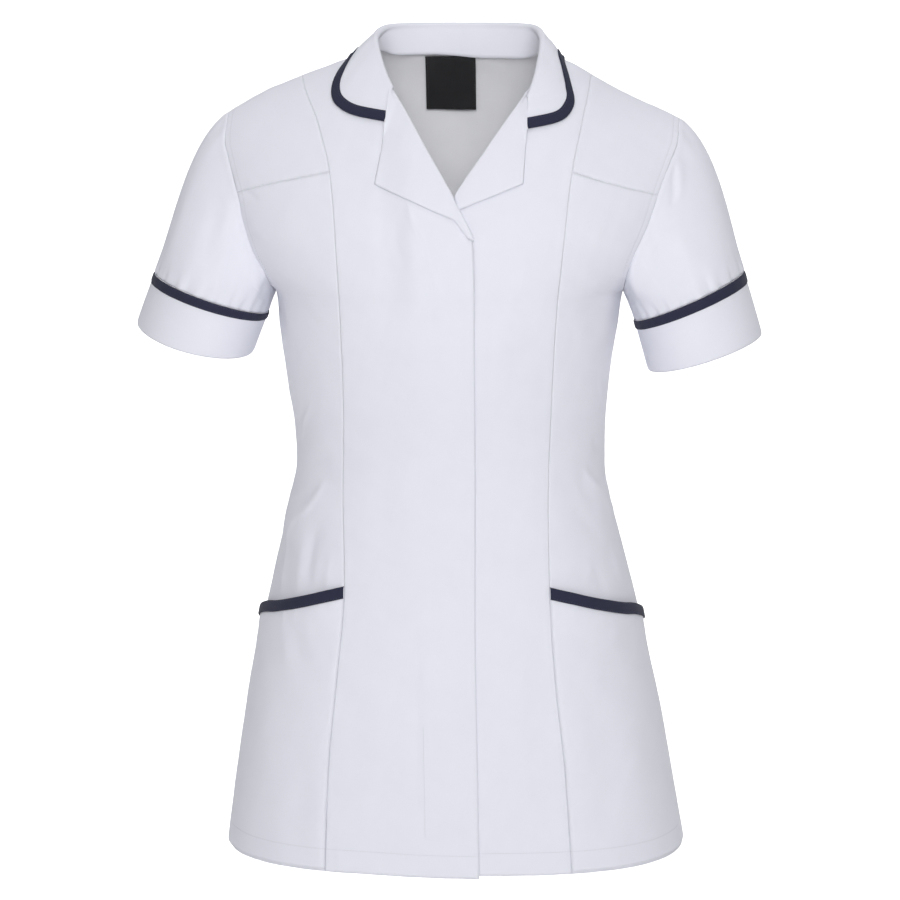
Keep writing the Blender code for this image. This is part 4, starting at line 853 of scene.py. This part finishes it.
def make_front_centre(who):
    theta, levels = between(seam_theta(FRONT_SEAM, who, ALL), inner_theta(who, ALL), ALL, 66)
    out = 0.0
    if who == "right":
        out = right_front_lift(theta, levels)
        dropped = np.linspace(1, 0, 12)[:, None]
        levels[:len(dropped)] -= HEM_DROP * np.linspace(0, 1, levels.shape[1]) ** 2 * dropped
    plain, normals = laid(theta, levels, "front", out)
    b = Borders(plain)
    relief = seam_dips(b, start=0.7) + seam_dips(b, top=2.1) * (b.start < 0.06)
    relief += hem_relief(b, 0.4 if who == "right" else 1.9)
    lines = [(b.bottom - HEM_DEPTH, b.across)]
    if who == "right":
        relief += -0.00035 * swell(b.end, 0.0016)
        at_foot = ease((FLY_TOP - levels) / 0.03) * ease((levels - FLY_FOOT) / 0.003)
        fly = b.end - FLY_DEPTH
        lines.append((np.where(at_foot > 0.5, fly, NO_STITCH), b.along))
        relief += stitch_dip(fly, b.along, 0.2) * at_foot * 1.4
    wall = np.maximum(thick_to(b.bottom, HEM_DEPTH), thick_to(b.end, FLY_DEPTH))
    sew("cloth_front_centre_" + who, plain + normals * relief[..., None], wall,
        outward=normals, stitch=nearest_line(*lines))


def make_side_front(who):
    theta, levels = between(seam_theta(FRONT_SEAM, who, SIDE_FRONT), side_edge(SIDE_FRONT, who, "front"),
                            SIDE_FRONT, 78)
    plain, normals = laid(theta, levels, "front", 0.0)
    b = Borders(plain)
    dip, line = armhole_stitches(b.end, b.along, levels, 0.9)
    relief = seam_dips(b, start=1.3, end=0.3, top=1.0) + hem_relief(b, 2.6) + dip
    sew("cloth_side_front_" + who, plain + normals * relief[..., None], thick_to(b.bottom, HEM_DEPTH),
        outward=normals, stitch=nearest_line((b.bottom - HEM_DEPTH, b.across), line))


def make_yoke(who):
    theta, levels = between(seam_theta(FRONT_SEAM, who, YOKE), side_edge(YOKE, who, "front"), YOKE, 46)
    plain, normals = laid(theta, levels, "front", 0.0)
    b = Borders(plain)
    dip, line = armhole_stitches(b.end, b.along, levels, 0.5)
    relief = seam_dips(b, start=0.1, end=1.1, top=2.0, bottom=0.6) + dip
    sew("cloth_front_yoke_" + who, plain + normals * relief[..., None], WALL,
        outward=normals, stitch=line)


def make_back():
    right, left = side_edge(ALL, "right", "back"), side_edge(ALL, "left", "back")
    places = np.concatenate([-NECK_STEPS[:0:-1], NECK_STEPS]) + NECK_CENTRE
    neck_level = level_behind(places)
    neck = theta_at(places, neck_level)
    shares = np.linspace(0, 1, 37)[1:]
    top = np.concatenate([neck[0] + (right[-1] - neck[0]) * shares[::-1], neck,
                          neck[-1] + (left[-1] - neck[-1]) * shares])
    theta = np.where(top < 0, top * (right / right[-1])[:, None], top * (left / left[-1])[:, None])
    levels = ALL[:, None] * np.ones(len(top))
    ends = np.full(len(shares), TOP)
    highest = np.concatenate([ends, neck_level, ends])
    arch = (levels - UNDERARM) / RISE
    levels = np.where(levels > UNDERARM, UNDERARM + arch * (highest - UNDERARM), levels)
    plain, normals = laid(theta, levels, "back", 0.0)
    b = Borders(plain)
    dips, lines = zip(armhole_stitches(b.start, b.along, levels, 0.9),
                      armhole_stitches(b.end, b.along, levels, 1.7))
    relief = seam_dips(b, start=0.8, end=2.8, top=0.5) + hem_relief(b, 3.3) + sum(dips)
    sew("cloth_back", plain + normals * relief[..., None], thick_to(b.bottom, HEM_DEPTH),
        outward=normals, stitch=nearest_line((b.bottom - HEM_DEPTH, b.across), *lines))


# Sleeves: rings round the arm, from its top down its front, and up again behind
LOOP_LEVELS = UNDERARM + RISE * np.linspace(0, 1, 111) ** 1.2


def armhole_loop(who):
    """The armhole's points, and the turn round the arm of each."""
    front = cloth_point(side_edge(LOOP_LEVELS, who, "front"), LOOP_LEVELS, "front")
    rear = cloth_point(side_edge(LOOP_LEVELS, who, "back"), LOOP_LEVELS, "back")
    points = np.concatenate([front[::-1], rear[1:-1]])
    half = len(LOOP_LEVELS) - 1
    steps = np.linalg.norm(np.diff(np.concatenate([points, points[:1]]), axis=0), axis=1)
    down, up = np.concatenate([[0.0], np.cumsum(steps[:half])]), np.cumsum(steps[half:])
    return points, np.concatenate([down / down[-1] * math.pi, math.pi + up[:-1] / up[-1] * math.pi])


def sleeve_ring(who, share, turn):
    """Ring of the sleeve's lower end: 0 where the cuff starts, 1 at its hem."""
    x, z, half_width, half_depth, slope, drop = mix(*np.array(SLEEVES[who]), share)
    slope = math.radians(slope)
    outwards = np.array([WAY[who] * math.cos(slope), 0.0, math.sin(slope)])
    forwards = np.array([0.0, -half_depth, -drop])
    return (np.array([x, SLEEVE_Y, z]) + half_width * np.cos(turn)[:, None] * outwards
            + np.sin(turn)[:, None] * forwards)


def tube_normals(grid):
    """Normals of a tube of rings, away from its middle."""
    normals = grid_normals(grid, closed=True)
    return normals * np.sign(np.sum(normals * (grid - grid.mean(axis=1, keepdims=True))))


def round_run(ring, rows):
    """Run round a ring, the same for each row."""
    steps = np.linalg.norm(np.diff(ring, axis=0), axis=1)
    return np.concatenate([[0], np.cumsum(steps)]) * np.ones((rows, 1))


def make_sleeve(who):
    start, turn = armhole_loop(who)
    end = sleeve_ring(who, 0.0, turn)
    sine, cosine = np.sin(turn)[:, None], np.cos(turn)[:, None]
    outwards = np.array([-WAY[who], 1.0, 1.0])
    bulge = CAP_SIDE * outwards * [1.0, 0.0, 1.0] - sine * [0.0, CAP_SIDE[1], 0.0]
    leave = unit(np.clip(cosine, 0.0, 1.0) ** 1.3 * CAP_TOP * outwards
                 + np.clip(-cosine, 0.0, 1.0) ** 1.3 * CAP_UNDER * outwards + np.abs(sine) * bulge)
    arrive = unit(np.array(SLEEVE_END[who]))
    chord = np.linalg.norm(end - start, axis=1)[:, None]
    first = start - leave * CAP_TUCK
    t = np.linspace(0.0, 1.0, 80)[:, None, None]
    grid = ((1 + 2 * t) * (1 - t) ** 2 * first + t * (1 - t) ** 2 * 0.8 * chord * leave
            + t * t * (3 - 2 * t) * end + t * t * (t - 1) * chord * arrive)
    normals = tube_normals(grid)
    degrees = np.degrees(turn)[None, :]
    from_start = arcs(grid, 0)
    from_end = from_start[-1:] - from_start
    share = t[..., 0] * np.ones_like(from_start)
    relief = np.zeros_like(from_start)
    for turn1, share1, turn2, share2, reach, height in SLEEVE_CREASES[who]:
        relief += ridge_lift(degrees * PER_DEGREE, share * SLEEVE_LENGTH,
                             turn1 * PER_DEGREE, share1 * SLEEVE_LENGTH,
                             turn2 * PER_DEGREE, share2 * SLEEVE_LENGTH, 0.0, reach, height, 0.0)
    gathers = np.sin(degrees * 0.42 + 2 * np.sin(degrees * 0.05)) * (0.6 + 0.4 * np.sin(degrees * 0.09 + 1))
    relief += 0.00080 * gathers * swell(from_end, 0.016)
    for place, depth, height in PUCKERS:
        relief -= depth * swell((degrees - place) * PER_DEGREE, PUCKER_WIDTH) * swell(from_end, height)
    cap = np.sin(degrees * 0.33 + 1.5 * np.sin(degrees * 0.07)) * (0.6 + 0.4 * np.sin(degrees * 0.05 + 2))
    relief += 0.00035 * cap * swell(from_start - 0.010, 0.010)
    # The cap's seam sinks in with a low welt beside it, and the end sinks into the cuff's seam
    relief += -0.0002 * swell(from_start, 0.0008) + 0.0003 * swell(from_start - 0.004, 0.003)
    relief += -0.0006 * swell(from_end, 0.0014)
    relief *= from_start >= 0.0001
    sew("cloth_sleeve_" + who, grid + normals * relief[..., None], WALL,
        outward=normals, closed=True)


def make_cuff(who):
    turn = np.linspace(0, 2 * math.pi, 161)[:-1]
    grid = np.array([sleeve_ring(who, share, turn) for share in np.linspace(0.02, 1.0, 30)])
    normals = tube_normals(grid)
    from_start = arcs(grid, 0)
    from_end = from_start[-1:] - from_start
    degrees = np.degrees(turn)
    relief = 0.0006 * np.sin(turn * 3 + 0.8) * ease(from_start / 0.03)
    relief += 0.0003 * np.sin(degrees * 0.31) * np.sin(degrees * 0.11 + 1) * swell(from_start, 0.012)
    relief += -0.0005 * swell(from_end, 0.0013)
    sew("cloth_cuff_" + who, grid + normals * relief[..., None], CUFF_WALL, outward=normals,
        closed=True, stitch=(np.full_like(from_start, NO_STITCH), round_run(grid[-1], len(grid))))


def make_cuff_strip(who):
    turn = np.linspace(0, 2 * math.pi, 181)[:-1]
    rows = np.linspace(0.0, 1.0, 13)
    width = (BINDING - 0.0008) / STRIP_TO_HEM
    grid = np.array([sleeve_ring(who, row * width + 0.004, turn) for row in rows])
    degrees = np.degrees(turn)
    dome = 0.0004 + 0.0005 * (1 - np.abs(2 * rows - 1) ** 5)[:, None]
    wobble = 0.00018 * np.sin(degrees * 0.37 + 1) * np.sin(degrees * 0.13)
    normals = tube_normals(grid)
    down = arcs(grid, 0)
    offset = np.minimum(np.abs(down - TRIM_STITCH), np.abs(down[-1:] - down - TRIM_STITCH))
    sew("trim_cuff_strip_" + who, grid + normals * (dome + wobble)[..., None], BINDING_WALL,
        outward=normals, closed=True, stitch=(offset, round_run(grid[0], len(grid))))


# Pockets
def hip_theta(who, levels):
    """Angles spread from the front seam to the side seam, at each column's levels."""
    return mix(seam_theta(FRONT_SEAM, who, levels), WAY[who] * QUARTER,
               np.linspace(0.0, 1.0, levels.shape[-1]))


def mouth_levels(who, columns):
    """Levels of the pocket's mouth, which falls a little more round the hip."""
    top = np.full(columns, MOUTH["height"][1])
    for _ in range(6):
        theta = hip_theta(who, top)
        x = cloth_point(theta, top, "front")[..., 0] - ring_value("centre", top)
        round_side = ease((np.abs(theta) - MOUTH_TURN) / (QUARTER - MOUTH_TURN))
        top = smooth(MOUTH["across"], MOUTH["height"], np.abs(x)) - MOUTH_FALL * round_side
    return top


def pocket_out(levels, top):
    """How far the pocket lies out: sewn down at both sides, gaping at its mouth."""
    below = np.clip((top - levels) / POCKET_EASE, 0.0, 1.0)
    across = np.linspace(0.0, 1.0, levels.shape[-1])
    from_side = np.minimum(across, 1 - across)
    flat = mix(SEWN_DOWN, WALL + REST_GAP + SPARE_GAP, ease(from_side / POCKET_SEWN))
    return flat + POCKET_GAPE * (1 - ease(below)) * ease(from_side / POCKET_END)


def make_pocket(who):
    top = mouth_levels(who, 54)
    foot = HEM + POCKET_UP
    levels = foot + (top - foot) * np.linspace(0.0, 1.0, 96)[:, None]
    plain, normals = laid(hip_theta(who, levels), levels, "front", pocket_out(levels, top))
    b = Borders(plain)
    relief = seam_dips(b, start=0.7, end=1.7) + hem_relief(b, 1.2)
    relief += sum(ridge_lift(plain[..., 0], plain[..., 2], *crease) for crease in POCKET_CREASES[who])
    gathers = np.sin(b.across * 520 + 2 * np.sin(b.across * 60)) * (0.6 + 0.4 * np.sin(b.across * 130))
    relief += 0.00028 * gathers * swell(b.top - 0.012, 0.009)
    sew("cloth_pocket_" + who, plain + normals * relief[..., None], thick_to(b.bottom, HEM_DEPTH),
        outward=normals, stitch=(b.bottom - HEM_DEPTH + POCKET_UP, b.across))


def make_pocket_binding(who):
    """The strip folded over the pocket's mouth: up its face, over its edge and down inside."""
    top = mouth_levels(who, 90)
    mouth_out = pocket_out(top, top)
    face, inside = 0.0009, -0.0014
    section = [(-BINDING, face - 0.0003), (-BINDING + 0.0006, face + 0.0002)]
    section += [(-BINDING + k * 0.0011, face + 0.0003) for k in range(2, 8)]
    section += [(0.0006, face * 0.9), (0.0013, face * 0.3), (0.0014, -0.0004), (0.0010, inside * 0.8)]
    section += [(up, inside) for up in (0.0, -0.0030, -0.0060)]
    levels = np.array([top + up for up, _ in section])
    out = np.array([mouth_out + lift for _, lift in section])
    grid, normals = laid(hip_theta(who, levels), levels, "front", out)
    sew("trim_pocket_binding_" + who, grid, -0.00045,
        outward=normals, stitch=(arcs(grid, 0) - 0.0014, arcs(grid, 1)))


# Collar
def outside(points):
    """Above 0 outside the body's form, below 0 inside it."""
    x, y, z = np.moveaxis(points, -1, 0)
    value = np.zeros_like(x)
    for side, here in (("front", y < SIDE_Y), ("back", y >= SIDE_Y)):
        rise, reach = ARCH[side]
        up = np.clip((z - UNDERARM) / (shoulder_height(x) - UNDERARM), 0.0, None)
        level = UNDERARM + RISE * np.arcsin(np.clip(up, 0.0, 1.0) ** (rise / 2)) / QUARTER
        square = ring_value("squareness", level)
        part = np.abs(x - ring_value("centre", level)) / ring_value("half_width", level)
        depth = ring_value(side, level) * np.clip(1 - part ** square, 0.01, 1.0) ** (1 / square)
        value = np.where(here, up ** rise + (np.abs(y - SIDE_Y) / depth) ** reach - 1, value)
    return value


def seat_on_cloth(points, distance, only_push=False):
    """Moves points to a distance out from the body's form, or only those that are nearer."""
    step = 0.0005
    points = np.array(points, float)
    for _ in range(8):
        slope = np.stack([(outside(points + axis * step) - outside(points - axis * step)) / (2 * step)
                          for axis in np.eye(3)], axis=-1)
        steep = np.linalg.norm(slope, axis=-1, keepdims=True)
        short = distance - outside(points)[..., None] / steep
        if only_push:
            short = np.maximum(short, 0.0)
        points += slope / steep * np.clip(short, -0.004, 0.004)
    return points


def curve_through(knots, count):
    """Catmull-Rom curve through rows of knots, evenly spread between them."""
    padded = np.concatenate([2 * knots[:1] - knots[1:2], knots, 2 * knots[-1:] - knots[-2:-1]])
    at = np.linspace(0, len(knots) - 1, count)
    i = np.clip(at.astype(int), 0, len(knots) - 2)
    t = (at - i)[:, None]
    a, b, c, d = padded[i], padded[i + 1], padded[i + 2], padded[i + 3]
    return 0.5 * (2 * b + (c - a) * t + (2 * a - 5 * b + 4 * c - d) * t ** 2
                  + (3 * b - a - 3 * c + d) * t ** 3)


def neck_line(who):
    """Points and normals of the neck seam, from the middle behind to the head of the roll."""
    places = NECK_CENTRE + WAY[who] * BACK_NECK["across"]
    levels = level_behind(places)
    head = level_at(*ROLL_HEAD[who], "front")
    front_levels = np.linspace(TOP, head, len(COLLAR_FRONT[who]) + 1)[1:]
    behind = theta_at(places, levels), levels, "back"
    before = inner_theta(who, front_levels), front_levels, "front"
    return [np.concatenate([find(*behind), find(*before)]) for find in (cloth_point, cloth_normal)]


def sheet_normals(grid):
    return unit(np.cross(np.gradient(grid, axis=0), np.gradient(grid, axis=1)))


# Across the collar: 9 points up the stand, 13 round the roll, then the fall
STATIONS = 90             # along half of the collar
ROLL_START = 9
FALL_START = 22
FALL_POINTS = 26
STAND_TUCK = 0.0018       # the stand reaches this far inside the neck seam
STAND_BOW = 0.0010        # and bows this far inwards
FALL_BOW = 0.0015         # the fall bows this far outwards
END_REACH = {"right": 0.30, "left": 1.55}    # how far the collar's end goes on where it rolls


def collar_side(who):
    """Half of the collar, from the middle behind to its end, as rows from stand to edge."""
    rows = np.array(COLLAR_BACK + COLLAR_FRONT[who])
    seam, normals = neck_line(who)
    placed = np.array([WAY[who], 1.0, 1.0]), np.array([NECK_CENTRE, 0.0, 0.0])
    roll, edge = [part * placed[0] + placed[1] for part in (rows[:, :3], rows[:, 3:6])]
    knots = np.concatenate([seam, normals, roll, seat_on_cloth(edge, COLLAR_LIFT), rows[:, 6:]], axis=1)
    seam, normals, roll, edge, radius = np.split(curve_through(knots, STATIONS), [3, 6, 9, 12], axis=1)
    normals = unit(normals)
    edge = seat_on_cloth(edge, COLLAR_LIFT - 0.0006)
    base = seam - unit(roll - seam) * STAND_TUCK - normals * (WALL + SPARE_GAP + COLLAR_WALL / 2)
    fall = unit(edge - roll)
    away = unit(np.cross(unit(np.gradient(roll, axis=0)), fall))
    away *= np.sign(np.sum(away * normals, axis=1, keepdims=True))
    middle = roll + fall * radius
    arc = [middle + (away * math.sin(turn) - fall * math.cos(turn)) * radius
           for turn in np.radians(np.linspace(-90, 90, FALL_START - ROLL_START))]
    grid = [mix(base, arc[0], share) - away * (STAND_BOW * math.sin(share * math.pi))
            for share in np.linspace(0, 1, ROLL_START + 1)[:-1]]
    grid += arc
    for share in np.linspace(0, 1, FALL_POINTS)[1:-1]:
        spot = mix(arc[-1], edge, share) + away * (math.sin(share * math.pi) * FALL_BOW)
        grid.append(seat_on_cloth(spot, COLLAR_LIFT - 0.0006, only_push=True))
    grid = np.stack(grid + [edge], axis=1)
    over_shoulder = swell(grid[1:-1, FALL_START:, 1:2] - 0.002, 0.020)
    for turn in range(40):
        even = (grid[:-2, FALL_START:] + grid[2:, FALL_START:]) / 2
        share = over_shoulder if turn > 5 else 1.0
        grid[1:-1, FALL_START:] += (even - grid[1:-1, FALL_START:]) * 0.5 * share
    grid[:, 30:] = seat_on_cloth(grid[:, 30:], COLLAR_LIFT - 0.0008, only_push=True)

    # The end goes on a little, sinking under the lapel; round the roll all of it goes one way
    place = np.arange(grid.shape[1])
    onwards = unit(grid[-1] - grid[-3])
    on_fall = ease((place - 30) / 14)[:, None]
    step = mix(unit(onwards[14:34].mean(axis=0)), onwards, on_fall) * ease((place - 8) / 6)[:, None]
    step = step * mix(END_REACH[who], 1.0, on_fall)
    under = sheet_normals(grid)[-1] * WAY[who] * 0.0010 * ease((place - 20) / 8)[:, None]
    return np.concatenate([grid, grid[-1:] + step * 0.0010 - under * 0.5, grid[-1:] + step * 0.0026 - under])


COLLAR_GRID = np.concatenate([collar_side("right")[::-1], collar_side("left")[1:]])


def make_collar():
    normals = sheet_normals(COLLAR_GRID)
    b = Borders(COLLAR_GRID)
    ripple = 0.00025 * np.sin(b.along * 210 + 1) * np.sin(b.along * 77) * ease(b.end / 0.02)
    ripple = ripple * (np.arange(COLLAR_GRID.shape[1]) > FALL_START)
    sew("cloth_collar", COLLAR_GRID + normals * (COLLAR_WALL / 2 + ripple)[..., None], COLLAR_WALL,
        outward=normals)


def make_collar_binding():
    """The strip folded over the collar's edge: down its face, over its edge and back below."""
    grid = COLLAR_GRID[1:-1]
    normals = sheet_normals(grid)[:, -1]
    edge = grid[:, -1]
    up = unit(grid[:, -3] - edge)
    run = unit(np.gradient(edge, axis=0))
    widen = np.minimum(1 / np.linalg.norm(np.cross(up, run), axis=1), 1.5)
    from_edge = Borders(grid).end

    def on_fall(back):
        """Places on the fall at a distance back from its edge; beyond the edge below 0."""
        if back <= 0:
            return edge + up * back
        return np.array([[np.interp(back * wide, reach[::-1], row[::-1, axis]) for axis in range(3)]
                         for row, reach, wide in zip(grid, from_edge, widen)])

    half = COLLAR_WALL / 2
    section = [(0.0080, half + 0.0002), (0.0078, half + 0.0006)]
    section += [(back, half + 0.0007) for back in (0.0068, 0.0056, 0.0044, 0.0032, 0.0020, 0.0010, 0.0002)]
    section += [(-0.0006, half * 0.7), (-0.0009, 0.0), (-0.0006, -half * 0.7)]
    section += [(back, -half - 0.0005) for back in (0.0004, 0.0025, 0.0050)]
    made = np.stack([on_fall(back) + normals * out for back, out in section])
    sew("trim_collar_binding", made, -0.0004,
        stitch=(arcs(made, 0) - 0.0016, arcs(made, 1)))


# Lapels
ROLL_RADIUS = 0.0019
OVER_COLLAR = 0.0030      # a lapel's head rises onto the collar's end by this much


def make_lapel(who):
    """The front's edge turned back: from under the roll, round it and over the front."""
    rows = LAPELS[who]
    head, foot = level_at(*ROLL_HEAD[who], "front"), level_at(*ROLL_FOOT[who], "front")
    places = np.linspace(rows["along"][0] - 0.012, rows["along"][-1], 70)
    levels = head + (foot - head) * places
    roll = cloth_point(inner_theta(who, levels), levels, "front")[:, [0, 2]]
    outer = np.stack([np.interp(places, rows["along"], rows[name]) for name in ("outer_x", "outer_z")],
                     axis=1)
    way = unit(outer - roll)
    width = np.linalg.norm(outer - roll, axis=1)
    centre = -WALL / 2
    spots = [(roll + way * back, centre - ROLL_RADIUS) for back in (0.010, 0.006, 0.003)]
    spots += [(roll - way * ROLL_RADIUS * math.cos(turn), centre + ROLL_RADIUS * math.sin(turn))
              for turn in np.radians(np.linspace(-90, 90, 11))]
    low, high = REST_GAP + EDGE_WALL, centre + ROLL_RADIUS
    at_head = 1 - ease((places - places[0]) / 0.16)
    for share in np.linspace(0, 1, 26)[1:]:
        bow = 0.0010 * np.sin(share * math.pi) * np.minimum(width / 0.03, 1.0)
        out = low + (high - low) * (1 - ease(share / 0.5)) + bow + OVER_COLLAR * at_head * ease(share / 0.11)
        spots.append((roll + way * (width * share)[:, None], out))
    x, z = np.moveaxis(np.stack([spot for spot, _ in spots], axis=1), -1, 0)
    out = np.stack([np.broadcast_to(lift, (len(places),)) for _, lift in spots], axis=1)
    level = level_at(x, z, "front")
    theta = theta_at(x, level)
    if who == "right":
        out = out + right_front_lift(theta, level)
    grid, normals = laid(theta, level, "front", out)
    facing = sheet_normals(grid)
    facing *= np.sign(np.sum(facing[:, 20:] * normals[:, 20:]))
    b = Borders(grid)
    grid = grid + facing * (-0.0004 * swell(b.end, 0.0012))[..., None]
    sew("cloth_lapel_" + who, grid, EDGE_WALL - 0.0003,
        outward=facing, stitch=(np.full_like(b.along, NO_STITCH), b.along))


def make_label():
    x = np.linspace(*LABEL_X, 30)
    down = np.linspace(LABEL_HEIGHT, 0.0, 34)[:, None]
    levels = level_at(x, LABEL_TOP - down, "back")
    share = down / LABEL_HEIGHT
    across = np.linspace(-1, 1, len(x))
    curl = 0.0012 + 0.0022 * share ** 2 + 0.0008 * np.sin(across * 2.2 + 0.5) * share
    points, normals = laid(theta_at(x, levels), levels, "back", -WALL - curl)
    b = Borders(points)
    offset = np.minimum.reduce([np.abs(distance - LABEL_STITCH) for distance in (b.start, b.end, b.top)])
    sew("label_neck", points, LABEL_WALL, node="neck_label", outward=normals,
        stitch=(offset, b.along))


make_back()
for who in WAY:
    for make in (make_front_centre, make_side_front, make_yoke, make_sleeve, make_cuff, make_cuff_strip,
                 make_pocket, make_pocket_binding, make_lapel):
        make(who)
make_collar()
make_collar_binding()
make_label()


# Studio
def paper_material():
    """Pale paper, with a glow behind the tunic that fades out to both sides and towards the front."""
    n = Nodes("pale_floor")
    x, y = n.add("SeparateXYZ", {0: n.add("TexCoord")["Object"]})[:2]
    fades = [n.add("MapRange", {"Value": value, "From Min": near, "From Max": far, "To Min": high,
                                "To Max": low}, interpolation_type="SMOOTHSTEP")["Result"]
             for value, near, far, high, low in ((n.maths("ABSOLUTE", x), 1.2, 3.2, 0.95, 0.26),
                                                 (y, 0.95, 0.15, 1.0, 0.12))]
    n.fill(n.shader, {"Base Color": (0.9, 0.9, 0.9, 1), "Roughness": 0.9, "Emission Color": (1, 1, 1, 1),
                      "Emission Strength": n.maths("MULTIPLY", *fades)})
    return n.material


def make_floor():
    """A pale floor that sweeps up into a backdrop."""
    half_width, floor_z, bend_y, radius, wall_top = 9.0, -1.05, 2.4, 1.2, 5.0
    profile = [(-half_width, floor_z), (bend_y, floor_z)]
    for turn in np.linspace(0, QUARTER, 13)[1:]:
        profile.append((bend_y + radius * math.sin(turn), floor_z + radius * (1 - math.cos(turn))))
    profile.append((bend_y + radius, wall_top))
    corners = [(x, y, z) for y, z in profile for x in (-half_width, half_width)]
    faces = [(2 * k, 2 * k + 1, 2 * k + 3, 2 * k + 2) for k in range(len(profile) - 1)]
    mesh = bpy.data.meshes.new("pale_floor")
    mesh.from_pydata(corners, [], faces)
    mesh.shade_smooth()
    mesh.materials.append(paper_material())
    floor = bpy.data.objects.new("pale_floor", mesh)
    bpy.context.scene.collection.objects.link(floor)


def add_light(name, place, target, size, power):
    data = bpy.data.lights.new(name, "AREA")
    data.shape = "RECTANGLE"
    data.size, data.size_y = size
    data.energy = power
    lamp = bpy.data.objects.new(name, data)
    lamp.location = place
    lamp.rotation_euler = (Vector(target) - Vector(place)).to_track_quat("-Z", "Y").to_euler()
    bpy.context.scene.collection.objects.link(lamp)


make_floor()
scene = bpy.context.scene
scene.view_settings.view_transform = "Standard"
scene.world = bpy.data.worlds.new("studio")
scene.world.use_nodes = True
backdrop = scene.world.node_tree.nodes["Background"].inputs
backdrop["Color"].default_value = (0.98, 0.98, 1.0, 1)
backdrop["Strength"].default_value = 0.22
add_light("front", (0.15, -3.1, 0.90), (0.0, 0.0, 0.05), size=(1.8, 1.4), power=58)
add_light("key", (1.7, -2.3, 1.1), (0.0, 0.0, -0.25), size=(1.2, 1.6), power=3)
add_light("fill", (-2.2, -2.2, 0.5), (0.0, 0.0, -0.30), size=(1.6, 1.8), power=2)
add_light("top", (0.1, -0.4, 2.3), (0.0, 0.0, -0.10), size=(1.8, 1.4), power=16)

distance, turn, tilt = 2.57, math.radians(2.0), math.radians(7.77)
picture, focal_pixels, shift_pixels = 900.0, 2857.0, -3.0
camera_data = bpy.data.cameras.new("camera")
camera_data.sensor_width = 36.0
camera_data.lens = focal_pixels / picture * camera_data.sensor_width
camera_data.shift_x = shift_pixels / picture
camera = bpy.data.objects.new("camera", camera_data)
camera.location = (distance * math.sin(turn), -distance * math.cos(turn), 0.0)
camera.rotation_euler = (math.pi / 2 - tilt, 0.0, turn)
scene.collection.objects.link(camera)
scene.camera = camera
